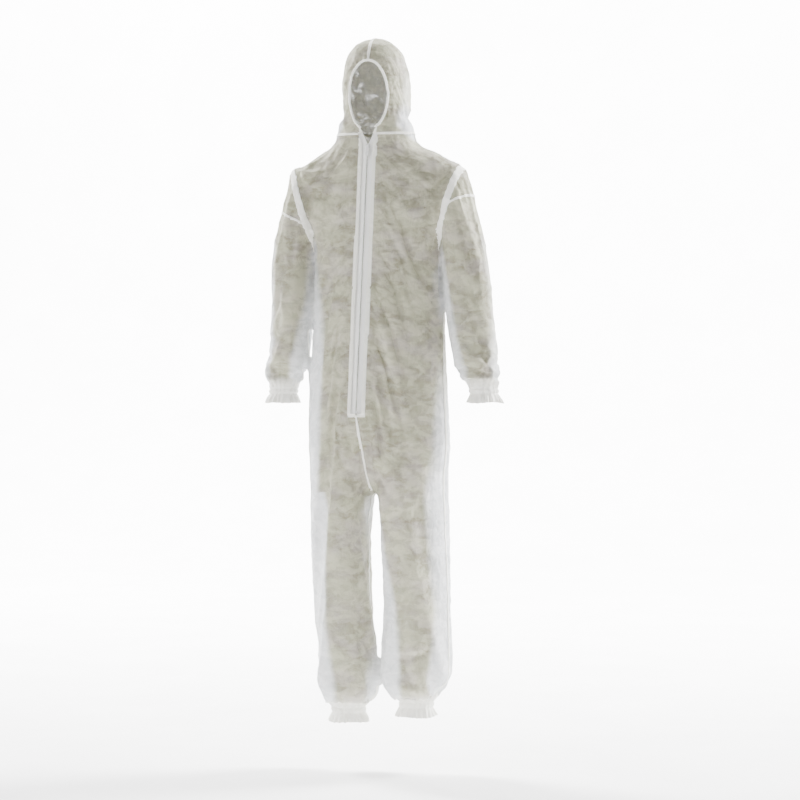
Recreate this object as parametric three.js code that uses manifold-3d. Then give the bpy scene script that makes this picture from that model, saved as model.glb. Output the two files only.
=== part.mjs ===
// Hooded disposable coverall, shaped as it is worn. Millimetres, +Z up, front towards -Y, +X is the
// wearer's left. The origin is the middle of the neck, between the shoulders that carry the suit.
// Each panel, seam, hem, elastic and zip piece is its own closed solid. One layer of cloth is drawn
// fabricWall thick, so that it collides well; the real cloth is about 0.35 mm.
import * as THREE from 'three';
import { mergeVertices } from 'three/addons/utils/BufferGeometryUtils.js';
import Module from 'manifold-3d';

const wasm = await Module();
wasm.setup();

// ---------- driving dimensions ----------
const fabricWall = 2;
const pieceGap = 0.3; // between two pieces that touch
const seamHalfWidth = 4;
const seamProud = 1; // how far a seam stands out of the cloth, inside and outside
const armholeAllowance = 16; // the folded edge of the body beside the sleeve
const torsoSegments = 24;
const legSegments = 16;
const sleeveSegments = 14;

// levels, measured from the neck
const hoodTop = 268;
const neckSeamFront = 16;
const neckSeamBack = 34;
const shoulderTipZ = -70;
const underarmZ = -268;
const crotchZ = -862;
const hipFoldZ = crotchZ - 8;
const wristZ = -622;
const ankleZ = { left: -1418, right: -1436 };
const sleeveJoinZ = { left: -144, right: -182 }; // where the short upper sleeve is sewn on

// half widths
const neckHalfWidth = 104;
const shoulderHalfWidth = 226;
const chestHalfWidth = 160;
const underarmHalfWidth = chestHalfWidth + 4; // where the armhole passes the side of the chest
const hipHalfWidth = 186;
const hoodHalfWidth = 83;
const sleeveHalfWidth = 56;
const legHalfWidth = 84;
const headLean = -8; // the hood and the neck stand this far to the wearer's right

// depths
const neckFront = 88;
const zipSlope = 0.09; // the front leans out by this much per mm down, in one straight line
const hoodFront = 94;
const hoodBack = 124;

// the zip, and the V that stays open above its slider
const zipTopZ = -10;
const zipBottomZ = -690;
const zipDrift = 0.023; // the zip runs to the wearer's right by this much per mm down
const openVHeight = 42;
const openVHalfWidth = 20;
const tapeReveal = 14; // tape seen on each side of the centre
const tapeOverlap = 8; // tape hidden behind the panel's folded edge
const tapeWall = 1.2;
const coilGap = 1.2; // half the way that the slider's post needs between the coils and tapes
const coilWidth = 2;
const coilDepth = 2.2;
const stopLength = 5;

// the face opening, which its binding goes round from one side of the V to the other
const faceHalfWidth = 50;
const faceTopZ = 200;
const faceMiddleZ = 114;
const bindingRadius = 3.2;
const bindingWall = 1.1;
const bindingSteps = 30;

// wrist and ankle hems, each with an elastic in a channel on its inside
const wristRadius = 36;
const ankleRadius = 43;
const elasticWidth = 9;
const elasticThickness = 1.6;
const hemWall = 1.4;
const hemLip = 4; // cloth above and below the channel
const frillLength = 22; // loose edge beyond the elastic
const frillFlare = 9;
const hemSegments = 16;

// the slider and its puller
const sliderWidth = 9.8;
const sliderLength = 11;
const sliderPlate = 1.2;
const sliderClear = 0.4;
const pinRadius = 0.75;
const eyeRadius = 1.9;
const lugWidth = 1.1;
const eyeWidth = 4.6;
const pullerLength = 26;
const pullerWidth = 7.6;
const pullerWall = 1.5;

// ---------- materials ----------
const cloth = new THREE.MeshStandardMaterial({ color: 0xc9c9bf, roughness: 0.85, metalness: 0 });
const doubleCloth = new THREE.MeshStandardMaterial({ color: 0xe6e6e0, roughness: 0.85, metalness: 0 });
const thread = new THREE.MeshStandardMaterial({ color: 0xecebe4, roughness: 0.8, metalness: 0 });
const elastic = new THREE.MeshStandardMaterial({ color: 0xe9e7df, roughness: 0.7, metalness: 0 });
const tapeWeave = new THREE.MeshStandardMaterial({ color: 0xeae8e3, roughness: 0.8, metalness: 0 });
const nylon = new THREE.MeshStandardMaterial({ color: 0xf0efec, roughness: 0.35, metalness: 0 });
const lacquered = new THREE.MeshStandardMaterial({ color: 0xe9e9e6, roughness: 0.3, metalness: 0.2 });

const suit = new THREE.Group();
const space = 4000; // larger than the suit
const axisX = new THREE.Vector3(1, 0, 0);
const axisY = new THREE.Vector3(0, 1, 0);
const axisZ = new THREE.Vector3(0, 0, 1);
const at = (x, y, z) => new THREE.Vector3(x, y, z);

// ---------- solids ----------
function solidOf(geometry) {
  const bare = geometry.clone();
  for (const name of ['normal', 'uv']) bare.deleteAttribute(name);
  const merged = mergeVertices(bare, 1e-4);
  const triVerts = new Uint32Array(merged.index.array);
  const build = () => new wasm.Manifold(new wasm.Mesh({
    numProp: 3, vertProperties: merged.attributes.position.array, triVerts,
  }));
  const made = build();
  if (made.volume() > 0) return made;
  for (let i = 0; i < triVerts.length; i += 3) {
    [triVerts[i + 1], triVerts[i + 2]] = [triVerts[i + 2], triVerts[i + 1]];
  }
  return build();
}

function addPiece(name, solid, material) {
  const source = solid.getMesh();
  const geometry = new THREE.BufferGeometry();
  const points = new Float32Array(source.numVert * 3);
  for (let i = 0; i < source.numVert; i++) {
    points.set(source.vertProperties.subarray(i * source.numProp, i * source.numProp + 3), i * 3);
  }
  geometry.setAttribute('position', new THREE.BufferAttribute(points, 3));
  geometry.setIndex(new THREE.BufferAttribute(source.triVerts, 1));
  geometry.computeVertexNormals();
  const mesh = new THREE.Mesh(geometry, material);
  mesh.name = name;
  suit.add(mesh);
}

const join = (solids) => solids.reduce((a, b) => a.add(b));

// The largest separate body of a solid, without the crumbs that a cut leaves.
function mainBody(solid) {
  return solid.decompose().reduce((a, b) => (b.volume() > a.volume() ? b : a));
}
function middleOf(solid) {
  const { min, max } = solid.boundingBox();
  return at((min[0] + max[0]) / 2, (min[1] + max[1]) / 2, (min[2] + max[2]) / 2);
}

// A layer between two parallel planes, from and to millimetres along direction from point.
function slab(point, direction, from, to) {
  const box = new THREE.BoxGeometry(space, space, to - from);
  const turn = new THREE.Quaternion().setFromUnitVectors(axisZ, direction);
  const middle = point.clone().addScaledVector(direction, (from + to) / 2);
  return solidOf(box.applyMatrix4(new THREE.Matrix4().compose(middle, turn, at(1, 1, 1))));
}
const beyond = (point, direction, shift = 0) => slab(point, direction, shift, space);
const above = (z, shift = 0) => beyond(at(0, 0, z), axisZ, shift);
const below = (z, shift = 0) => beyond(at(0, 0, z), axisZ.clone().negate(), shift);
const frontHalf = (shift = 0) => beyond(at(0, 0, 0), axisY.clone().negate(), shift);
const backHalf = (shift = 0) => beyond(at(0, 0, 0), axisY, shift);
const sideLayer = (half) => slab(at(0, 0, 0), axisY, -half, half); // about the plane of the side seams

// An outline in X and Z, extruded from y = from to y = to.
function outlineSolid(points, from, to) {
  const shape = new THREE.Shape(points.map(([x, z]) => new THREE.Vector2(x, z)));
  const block = new THREE.ExtrudeGeometry(shape, { depth: to - from, bevelEnabled: false });
  block.rotateX(Math.PI / 2);
  block.translate(0, to, 0);
  return solidOf(block);
}
const frontOutline = (points) => outlineSolid(points, -space / 4, 0);

// Between two values: 0 below the first, 1 above the second.
const ramp = (value, first, second) => Math.max(0, Math.min(1, (value - first) / (second - first)));

// The middle of the body, and the line of the zip, at a height.
const bodyX = (z) => headLean * ramp(z, -130, zipTopZ);
function zipX(z) {
  if (z > zipTopZ) return headLean;
  const down = Math.max(z, zipBottomZ) - zipTopZ;
  return (headLean + zipDrift * down) * (1 - ramp(-z, -zipBottomZ, -crotchZ));
}
const zipFront = (z) => neckFront - zipSlope * z;
const openV = (z) => openVHalfWidth * Math.max(0, (z - zipTopZ) / openVHeight);

// ---------- tubes of cloth ----------
// A level is a rounded section: its height, its middle, its half width, and its depth in front of
// and behind y = 0. Levels run downwards. Only the trunk follows the zip.
const roundness = 2.3;
function ringPoint(level, angle) {
  const c = Math.cos(angle);
  const s = Math.sin(angle);
  const power = 2 / roundness;
  const depth = s < 0 ? level.front : level.back;
  return at(
    level.x + (s < 0 ? level.drift * s * s : 0) + level.width * Math.sign(c) * Math.abs(c) ** power,
    depth * Math.sign(s) * Math.abs(s) ** power,
    level.z,
  );
}

// A closed tube through the levels, its surface moved outwards by swell.
function tube(levels, segments, swell) {
  const rings = levels.map((level) => Array.from({ length: segments },
    (_, i) => ringPoint(level, (i * 2 * Math.PI) / segments)));
  const last = rings.length - 1;
  const points = rings.flatMap((ring, r) => ring.map((p, i) => {
    const along = ring[(i + 1) % segments].clone().sub(ring[(i + segments - 1) % segments]);
    const down = rings[Math.min(r + 1, last)][i].clone().sub(rings[Math.max(r - 1, 0)][i]);
    const moved = p.clone().addScaledVector(down.cross(along).normalize(), swell);
    const end = (r === 0 ? swell : 0) - (r === last ? swell : 0);
    return moved.setZ(moved.z + end);
  }));
  const middles = [0, last].map((r) => at(levels[r].x, 0, points[r * segments].z));
  const faces = [];
  for (let r = 0; r < last; r++) {
    for (let i = 0; i < segments; i++) {
      const j = (i + 1) % segments;
      const [a, b] = [r * segments + i, r * segments + j];
      faces.push(a, a + segments, b, b, a + segments, b + segments);
    }
  }
  for (let i = 0; i < segments; i++) {
    const j = (i + 1) % segments;
    faces.push(points.length, i, j, points.length + 1, last * segments + j, last * segments + i);
  }
  const geometry = new THREE.BufferGeometry().setFromPoints([...points, ...middles]);
  geometry.setIndex(faces);
  return solidOf(geometry);
}

const trunkLevel = (z, width, front, back) => {
  const x = bodyX(z);
  return { z, x, width, front, back, drift: zipX(z) - x };
};
const tubeLevel = (z, x, width, front, back) => ({ z, x, width, front, back, drift: 0 });

const torsoLevels = [
  trunkLevel(48, neckHalfWidth - 16, neckFront - 10, 90),
  trunkLevel(neckSeamFront, neckHalfWidth - 4, zipFront(neckSeamFront), 97),
  trunkLevel(zipTopZ, neckHalfWidth + 22, zipFront(zipTopZ), 102),
  trunkLevel(-40, shoulderHalfWidth - 48, zipFront(-40), 108),
  trunkLevel(shoulderTipZ, shoulderHalfWidth + 2, zipFront(shoulderTipZ), 114),
  trunkLevel(-130, shoulderHalfWidth - 16, zipFront(-130), 124),
  trunkLevel(underarmZ, chestHalfWidth, zipFront(underarmZ), 132),
  trunkLevel(-470, chestHalfWidth + 3, zipFront(-470), 134),
  trunkLevel(-600, hipHalfWidth - 11, zipFront(-600), 140),
  trunkLevel(zipBottomZ, hipHalfWidth - 2, zipFront(zipBottomZ), 146),
  trunkLevel(-770, hipHalfWidth, 142, 144),
  trunkLevel(-830, hipHalfWidth - 14, 104, 114),
  trunkLevel(crotchZ, hipHalfWidth - 46, 48, 58),
];

const hoodLevels = [
  trunkLevel(hoodTop, 7, 8, 10),
  trunkLevel(hoodTop - 4, 26, 28, 40),
  trunkLevel(hoodTop - 17, 48, 52, 74),
  trunkLevel(hoodTop - 38, hoodHalfWidth - 18, hoodFront - 21, hoodBack - 24),
  trunkLevel(hoodTop - 66, hoodHalfWidth - 6, hoodFront - 6, hoodBack - 6),
  trunkLevel(165, hoodHalfWidth, hoodFront, hoodBack),
  trunkLevel(faceMiddleZ, hoodHalfWidth, hoodFront, hoodBack),
  trunkLevel(72, hoodHalfWidth + 3, hoodFront - 3, hoodBack - 9),
  trunkLevel(neckSeamFront + 20, neckHalfWidth - 8, hoodFront - 6, hoodBack - 22),
  trunkLevel(neckSeamFront, neckHalfWidth - 2, neckFront - 1, hoodBack - 26),
  trunkLevel(-30, neckHalfWidth + 4, neckFront - 12, 92),
];

// The middle of each sleeve and leg at some heights; the two arms and the two legs hang differently.
const legMiddle = legHalfWidth + 10; // the legs hang this far from the centre, so that they clear each other
const sleeveTop = [[-60, shoulderHalfWidth - 50], [-84, shoulderHalfWidth - 40], [-141, shoulderHalfWidth - 35]];
const sides = {
  left: {
    sign: 1,
    sleeve: [...sleeveTop, [underarmZ, chestHalfWidth + 64], [-403, chestHalfWidth + 76], [wristZ, hipHalfWidth + 85]],
    leg: [[-700, legMiddle - 2], [crotchZ, legMiddle], [-1190, legMiddle + 19], [-1300, legMiddle + 16],
      [ankleZ.left, legMiddle + 4]],
    pouch: 8,
  },
  right: {
    sign: -1,
    sleeve: [...sleeveTop, [underarmZ, chestHalfWidth + 65], [-403, chestHalfWidth + 72], [wristZ, hipHalfWidth + 66]],
    leg: [[-700, legMiddle], [crotchZ, legMiddle + 3], [-1000, legMiddle + 8], [-1190, legMiddle + 1],
      [ankleZ.right, legMiddle - 14]],
    pouch: 0,
  },
};
function along(path, z) {
  const i = Math.min(path.length - 1, Math.max(1, path.filter(([height]) => height > z).length));
  const [[z0, x0], [z1, x1]] = [path[i - 1], path[i]];
  return x0 + ((x1 - x0) * (z - z0)) / (z1 - z0);
}

function sleeveLevels({ sign, sleeve }) {
  const rows = [
    [-60, 24, 34], [-84, sleeveHalfWidth - 14, 58], [-141, sleeveHalfWidth, 76],
    [underarmZ, sleeveHalfWidth + 1, 80], [-403, sleeveHalfWidth - 3, 74], [-534, sleeveHalfWidth - 5, 66],
    [wristZ + 36, sleeveHalfWidth - 6, 56], [wristZ, wristRadius, wristRadius],
    [wristZ - 30, wristRadius, wristRadius],
  ];
  return rows.map(([z, width, depth]) => tubeLevel(z, sign * along(sleeve, z), width, depth, depth));
}

function legLevels({ sign, leg, pouch }, ankle) {
  const rows = [
    [-700, legHalfWidth - 12, 100, 108], [-770, legHalfWidth - 2, 124, 130], [hipFoldZ, legHalfWidth, 124, 128],
    [-960, legHalfWidth - 1, 112, 116], [-1190, legHalfWidth - 2, 98, 100],
    [ankle + 150, legHalfWidth - 4 + pouch, 98, 102], [ankle + 80, legHalfWidth + pouch, 94, 104],
    [ankle + 30, legHalfWidth - 18, 70, 76], [ankle, ankleRadius, ankleRadius, ankleRadius],
    [ankle - 30, ankleRadius, ankleRadius, ankleRadius],
  ];
  return rows.map(([z, width, front, back]) => tubeLevel(z, sign * along(leg, z), width, front, back));
}

const limbs = Object.entries(sides).map(([side, shape]) => {
  const sleeve = sleeveLevels(shape);
  const leg = legLevels(shape, ankleZ[side]);
  return {
    side,
    sign: shape.sign,
    ankle: ankleZ[side],
    sleeve: (swell) => tube(sleeve, sleeveSegments, swell),
    leg: (swell) => tube(leg, legSegments, swell),
    wristX: shape.sign * along(shape.sleeve, wristZ),
    ankleX: shape.sign * along(shape.leg, ankleZ[side]),
  };
});
const torso = (swell) => tube(torsoLevels, torsoSegments, swell);
const hood = (swell) => tube(hoodLevels, torsoSegments, swell);

// The trunk without the free sleeves, and the layer of it between two surfaces.
const trunk = (swell) => join([torso(swell), hood(swell), ...limbs.map((limb) => limb.leg(swell)),
  ...limbs.map((limb) => limb.sleeve(swell).intersect(above(underarmZ, -seamHalfWidth - swell)))]);
const trunkLayer = (outer, inner) => trunk(outer).subtract(trunk(inner));
const clothLayer = trunkLayer(0, -fabricWall);
const seamLayer = trunkLayer(seamProud, -fabricWall - seamProud);

// ---------- where the cloth is cut ----------
const neckPoint = at(0, -neckFront, neckSeamFront);
const neckUp = at(0, neckSeamFront - neckSeamBack, neckFront + hoodBack - 26).normalize();
const neckDown = neckUp.clone().negate();
const belowNeck = beyond(neckPoint, neckDown, seamHalfWidth + pieceGap);
const aboveNeck = beyond(neckPoint, neckUp, seamHalfWidth + pieceGap);
const shoulderTip = (sign) => at(sign * shoulderHalfWidth, 0, shoulderTipZ);
const armholeOut = (sign) => at(sign * (shoulderTipZ - underarmZ), 0, underarmHalfWidth - shoulderHalfWidth)
  .normalize();
const ownHalf = (sign) => beyond(at(0, 0, 0), at(sign, 0, 0));

// An outline from one height to another, between two distances from a middle line.
function stripe(middle, from, to, inner, outer) {
  const breaks = [from, crotchZ, zipBottomZ, -130, zipTopZ, to].filter((z) => z >= from && z <= to);
  return [...breaks.map((z) => [middle(z) + inner(z), z]),
    ...breaks.reverse().map((z) => [middle(z) + outer(z), z])];
}
const zipStripe = (from, to, inner, outer) => frontOutline(stripe(zipX, from, to, inner, outer));
// Everything on one side of a middle line.
const sideOf = (middle, sign) => outlineSolid(
  stripe(middle, -space / 2, hoodTop, () => 0, () => (sign * space) / 4), -space / 4, space / 4);
const zipGap = zipStripe(zipBottomZ - pieceGap, hoodTop, (z) => -tapeReveal - openV(z), (z) => tapeReveal + openV(z));
const riseGap = (half) => zipStripe(crotchZ - 20, zipBottomZ, () => -half, () => half);
const centreBackGap = (half) => outlineSolid(
  stripe(bodyX, crotchZ - 20, hoodTop, () => -half, () => half), 0, space / 4);

// ---------- body panels and their seams ----------
const bodyCloth = clothLayer.intersect(belowNeck).intersect(above(hipFoldZ));
const bodySeams = seamLayer.intersect(above(hipFoldZ));
const seamGap = seamHalfWidth + pieceGap;
const openFront = zipGap.add(riseGap(seamGap));
const outsideV = zipStripe(zipTopZ, hoodTop, (z) => -tapeReveal - tapeOverlap - pieceGap - openV(z),
  (z) => tapeReveal + tapeOverlap + pieceGap + openV(z));

for (const { side, sign } of limbs) {
  const inward = armholeOut(sign).negate();
  const bodySide = beyond(shoulderTip(sign), inward, armholeAllowance + pieceGap).add(below(underarmZ, pieceGap));
  const outer = beyond(at(0, 0, 0), at(sign, 0, 0), neckHalfWidth / 2);
  const panel = bodyCloth.intersect(bodySide).subtract(sideLayer(seamGap).intersect(outer));
  addPiece(`${side}_front_body`, mainBody(panel.intersect(frontHalf(pieceGap / 2))
    .intersect(sideOf(zipX, sign)).subtract(openFront)), cloth);
  addPiece(`${side}_back_body`, mainBody(panel.intersect(backHalf(pieceGap / 2))
    .intersect(sideOf(bodyX, sign)).subtract(centreBackGap(seamGap))), cloth);
  addPiece(`${side}_armhole_seam`, mainBody(bodySeams.intersect(ownHalf(sign))
    .intersect(slab(shoulderTip(sign), inward, 0, armholeAllowance)).intersect(above(underarmZ))), doubleCloth);
  const strips = bodySeams.intersect(outer).intersect(sideLayer(seamHalfWidth)).intersect(bodySide)
    .intersect(belowNeck).decompose().filter((strip) => strip.volume() > 1);
  strips.sort((a, b) => middleOf(b).z - middleOf(a).z);
  addPiece(`${side}_shoulder_seam`, strips[0], thread);
  addPiece(`${side}_side_seam`, strips[strips.length - 1], thread);
}

// Where the zip's tapes pass under it, the neck seam stops short of them.
addPiece('neck_seam', mainBody(seamLayer.intersect(slab(neckPoint, neckUp, -seamHalfWidth, seamHalfWidth))
  .subtract(outsideV)), doubleCloth);
addPiece('centre_back_seam', mainBody(bodySeams.intersect(centreBackGap(seamHalfWidth))
  .intersect(backHalf(pieceGap / 2)).intersect(belowNeck)), thread);
addPiece('front_rise_seam', mainBody(bodySeams.intersect(riseGap(seamHalfWidth))
  .intersect(frontHalf(pieceGap / 2)).intersect(below(zipBottomZ, pieceGap))), thread);

// ---------- hood ----------
const hoodRoom = hood(0).subtract(hood(-fabricWall)).intersect(aboveNeck);
const faceTallBelow = (faceMiddleZ - openVHeight - zipTopZ) / Math.sqrt(1 - (openVHalfWidth / faceHalfWidth) ** 2);
function faceEdge(grow) {
  const start = Math.acos(openVHalfWidth / faceHalfWidth);
  return Array.from({ length: bindingSteps + 1 }, (_, i) => {
    const angle = -start + ((Math.PI + 2 * start) * i) / bindingSteps;
    const tall = Math.sin(angle) > 0 ? faceTopZ - faceMiddleZ : faceTallBelow;
    return [headLean + (faceHalfWidth + grow) * Math.cos(angle), faceMiddleZ + (tall + grow) * Math.sin(angle)];
  });
}
const hoodFrontAt = (x, z) => {
  const i = Math.max(1, hoodLevels.findIndex((level) => level.z <= z));
  const [upper, lower] = [hoodLevels[i - 1], hoodLevels[i]];
  const t = (z - upper.z) / (lower.z - upper.z);
  const width = upper.width + (lower.width - upper.width) * t;
  const front = upper.front + (lower.front - upper.front) * t;
  return -front * (1 - Math.abs((x - headLean) / width) ** roundness) ** (1 / roundness);
};
const faceHole = outlineSolid([...faceEdge(bindingRadius + 2 * pieceGap),
  ...[-1, 1].map((sign) => [headLean + sign * (openV(neckSeamFront) + bindingRadius), neckSeamFront])],
-space / 4, -20);
const hoodCentre = slab(at(headLean, 0, 0), axisX, -seamHalfWidth, seamHalfWidth);
const hoodOpen = hoodRoom.subtract(faceHole);
for (const { side, sign } of limbs) {
  addPiece(`hood_${side}`, mainBody(hoodOpen.intersect(beyond(at(headLean, 0, 0), at(sign, 0, 0), seamGap))), cloth);
}
addPiece('hood_centre_seam', mainBody(hood(seamProud).subtract(hood(-fabricWall - seamProud)).intersect(aboveNeck)
  .subtract(faceHole).intersect(hoodCentre)), thread);

const facePath = new THREE.CatmullRomCurve3(faceEdge(0)
  .map(([x, z]) => at(x, hoodFrontAt(x, z) + fabricWall / 2, z)));
const circle = (radius) => new THREE.Path().absarc(0, 0, radius, 0, 2 * Math.PI);
function cordAlong(path, radius, hollow, steps) {
  const shape = new THREE.Shape(circle(radius).getPoints(4));
  if (hollow > 0) shape.holes.push(new THREE.Path(circle(hollow).getPoints(4)));
  return solidOf(new THREE.ExtrudeGeometry(shape, {
    steps, bevelEnabled: false, curveSegments: 8, extrudePath: path,
  }));
}
addPiece('face_binding', cordAlong(facePath, bindingRadius, bindingRadius - bindingWall, bindingSteps), doubleCloth);
addPiece('face_elastic', cordAlong(facePath, bindingRadius - bindingWall - pieceGap, 0, bindingSteps), elastic);

// ---------- hems with their elastics ----------
// A ring about the vertical axis through x, from an outline of distance and height.
function ring(outline, x, z) {
  const profile = [...outline, outline[0]].map(([r, h]) => new THREE.Vector2(r, h));
  const geometry = new THREE.LatheGeometry(profile, hemSegments);
  geometry.rotateX(Math.PI / 2);
  geometry.translate(x, 0, z);
  return solidOf(geometry);
}
const channelTop = -pieceGap - hemLip;
const channelDepth = elasticThickness + 2 * pieceGap;
const channelBottom = channelTop - elasticWidth - 2 * pieceGap;
const hemInner = hemWall + channelDepth;
const frillTop = channelBottom - hemLip;
function hem(name, radius, x, z) {
  const edge = frillTop - frillLength;
  addPiece(`${name}_hem`, ring([
    [radius, -pieceGap], [radius, frillTop], [radius + frillFlare, edge], [radius + frillFlare - hemWall, edge],
    [radius - hemInner, frillTop], [radius - hemInner, channelBottom], [radius - hemWall, channelBottom],
    [radius - hemWall, channelTop], [radius - hemInner, channelTop], [radius - hemInner, -pieceGap],
  ], x, z), doubleCloth);
  const face = radius - hemWall - pieceGap;
  const [top, bottom] = [channelTop - pieceGap, channelBottom + pieceGap];
  addPiece(`${name}_elastic`, ring([[face, top], [face, bottom], [face - elasticThickness, bottom],
    [face - elasticThickness, top]], x, z), elastic);
}

// ---------- legs ----------
const sideX = (solid) => Math.abs(middleOf(solid).x);
for (const { side, sign, leg, ankle, ankleX } of limbs) {
  const length = below(hipFoldZ, pieceGap).intersect(above(ankle));
  const wall = leg(0).subtract(leg(-fabricWall)).intersect(length);
  addPiece(`${side}_front_leg`, mainBody(wall.intersect(frontHalf(seamGap))), cloth);
  addPiece(`${side}_back_leg`, mainBody(wall.intersect(backHalf(seamGap))), cloth);
  const seams = leg(seamProud).subtract(leg(-fabricWall - seamProud)).intersect(length)
    .intersect(sideLayer(seamHalfWidth)).decompose();
  const [inner, outer] = seams.sort((a, b) => middleOf(a).x * sign - middleOf(b).x * sign);
  addPiece(`${side}_inseam`, inner, thread);
  addPiece(`${side}_leg_side_seam`, outer, thread);
  hem(`${side}_ankle`, ankleRadius, ankleX, ankle);
}

// ---------- sleeves ----------
for (const { side, sign, sleeve, wristX } of limbs) {
  const beyondArmhole = beyond(shoulderTip(sign), armholeOut(sign), pieceGap).intersect(above(wristZ));
  const shell = (outer, inner) => join([sleeve(outer), torso(outer)]).subtract(join([sleeve(inner), torso(inner)]))
    .intersect(sleeve(outer + fabricWall)).intersect(beyondArmhole);
  const free = below(underarmZ).intersect(torso(2 * seamProud));
  const wall = shell(0, -fabricWall).subtract(free);
  const thick = shell(seamProud, -fabricWall - seamProud).subtract(free);
  const underarmStrip = (half) => thick.intersect(sideLayer(half)).intersect(below(underarmZ)).decompose()
    .reduce((a, b) => (sideX(b) < sideX(a) ? b : a));
  const joinPoint = at(sign * shoulderHalfWidth, 0, sleeveJoinZ[side]);
  const joinUp = at(-sign * Math.sin(0.46), 0, Math.cos(0.46));
  const joinDown = joinUp.clone().negate();
  addPiece(`${side}_upper_sleeve`, mainBody(wall.intersect(beyond(joinPoint, joinUp, seamGap))), cloth);
  addPiece(`${side}_sleeve`, mainBody(wall.intersect(beyond(joinPoint, joinDown, seamGap))
    .subtract(underarmStrip(seamGap))), cloth);
  addPiece(`${side}_sleeve_joining_seam`,
    mainBody(thick.intersect(slab(joinPoint, joinUp, -seamHalfWidth, seamHalfWidth))), thread);
  addPiece(`${side}_underarm_seam`, underarmStrip(seamHalfWidth).intersect(below(underarmZ, pieceGap)), thread);
  hem(`${side}_wrist`, wristRadius, wristX, wristZ);
}

// ---------- zip ----------
const tapeTop = neckSeamFront + 3;
const coilTop = tapeTop - stopLength - 2;
const stopTop = zipBottomZ + stopLength + 2;
const tapeLayer = torso(-fabricWall - pieceGap).subtract(torso(-fabricWall - pieceGap - tapeWall));
const coilLayer = torso(coilDepth - fabricWall).subtract(torso(-fabricWall));
for (const { side, sign } of limbs) {
  const lane = (from, to, inner, outer) => {
    const edges = [(z) => sign * (inner + openV(z)), (z) => sign * (outer + openV(z))];
    return sign > 0 ? zipStripe(from, to, ...edges) : zipStripe(from, to, edges[1], edges[0]);
  };
  addPiece(`${side}_zip_tape`, mainBody(tapeLayer.intersect(
    lane(zipBottomZ, tapeTop, coilGap, tapeReveal + tapeOverlap))), tapeWeave);
  addPiece(`${side}_zip_coil`, mainBody(coilLayer.intersect(
    lane(stopTop + pieceGap, coilTop, coilGap, coilGap + coilWidth))), nylon);
  addPiece(`${side}_top_stop`, mainBody(coilLayer.intersect(
    lane(coilTop + pieceGap, coilTop + pieceGap + stopLength, coilGap - 0.4, coilGap + coilWidth + 0.6))), lacquered);
}
addPiece('bottom_stop', mainBody(coilLayer.intersect(zipStripe(zipBottomZ + 2, stopTop,
  () => -coilGap - coilWidth - 0.6, () => coilGap + coilWidth + 0.6))), lacquered);

// ---------- slider and puller ----------
// Drawn upright about its own middle, with y = 0 on the coils' outer face, then laid along the zip.
const sliderZ = zipTopZ - sliderLength / 2 - 1;
const block = (x0, x1, y0, y1, z0, z1) => solidOf(new THREE.BoxGeometry(x1 - x0, y1 - y0, z1 - z0)
  .translate((x0 + x1) / 2, (y0 + y1) / 2, (z0 + z1) / 2));
const rod = (radius, length, y, z) => solidOf(new THREE.CylinderGeometry(radius, radius, length, 12)
  .rotateZ(Math.PI / 2).translate(0, y, z));
const halfSlider = sliderWidth / 2;
const halfLength = sliderLength / 2;
const backFace = coilDepth + pieceGap + tapeWall + 2 * sliderClear; // behind the tapes, which slope back
const wallInside = coilGap + coilWidth + sliderClear;
const flangeDepth = coilDepth - sliderClear;
const pinY = -sliderClear - sliderPlate - eyeRadius - pieceGap;
const pinZ = 1.5;
const lugX = eyeWidth / 2 + pieceGap;
const laidOnZip = new THREE.Matrix4().compose(
  at(zipX(sliderZ), -zipFront(sliderZ) + fabricWall - coilDepth, sliderZ),
  new THREE.Quaternion().setFromUnitVectors(axisZ, at(zipDrift, zipSlope, 1).normalize()), at(1, 1, 1));
const onZip = (solid) => solid.transform(laidOnZip.elements);
const plate = (y0, y1) => block(-halfSlider, halfSlider, y0, y1, -halfLength, halfLength);
const lugs = [-1, 1].map((sign) => {
  const [x0, x1] = sign > 0 ? [lugX, lugX + lugWidth] : [-lugX - lugWidth, -lugX];
  return block(x0, x1, pinY - pinRadius - 0.8, -sliderClear, pinZ - 1.6, pinZ + 1.6);
});
const flanges = [block(wallInside, halfSlider, -sliderClear, flangeDepth, -halfLength, halfLength),
  block(-halfSlider, -wallInside, -sliderClear, flangeDepth, -halfLength, halfLength)];
addPiece('zip_slider', onZip(join([
  plate(-sliderClear - sliderPlate, -sliderClear), plate(backFace, backFace + sliderPlate), ...flanges, ...lugs,
  block(pieceGap - coilGap, coilGap - pieceGap, -sliderClear, backFace, halfLength - 2.4, halfLength),
  rod(pinRadius, 2 * lugX + lugWidth, pinY, pinZ),
])), lacquered);
const neckEnd = pinZ - 4.4; // the puller widens only once it is past the lugs
addPiece('zip_puller', onZip(join([
  rod(eyeRadius, eyeWidth, pinY, pinZ),
  block(-eyeWidth / 2, eyeWidth / 2, pinY - pullerWall / 2, pinY + pullerWall / 2, neckEnd - 1, pinZ - 1),
  block(-pullerWidth / 2, pullerWidth / 2, pinY - pullerWall / 2, pinY + pullerWall / 2, pinZ - pullerLength, neckEnd),
]).subtract(rod(pinRadius + pieceGap, 2 * eyeWidth, pinY, pinZ))), lacquered);

export default suit;
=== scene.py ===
import math
import bmesh
import bpy
import numpy as np
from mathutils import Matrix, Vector, noise


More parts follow.
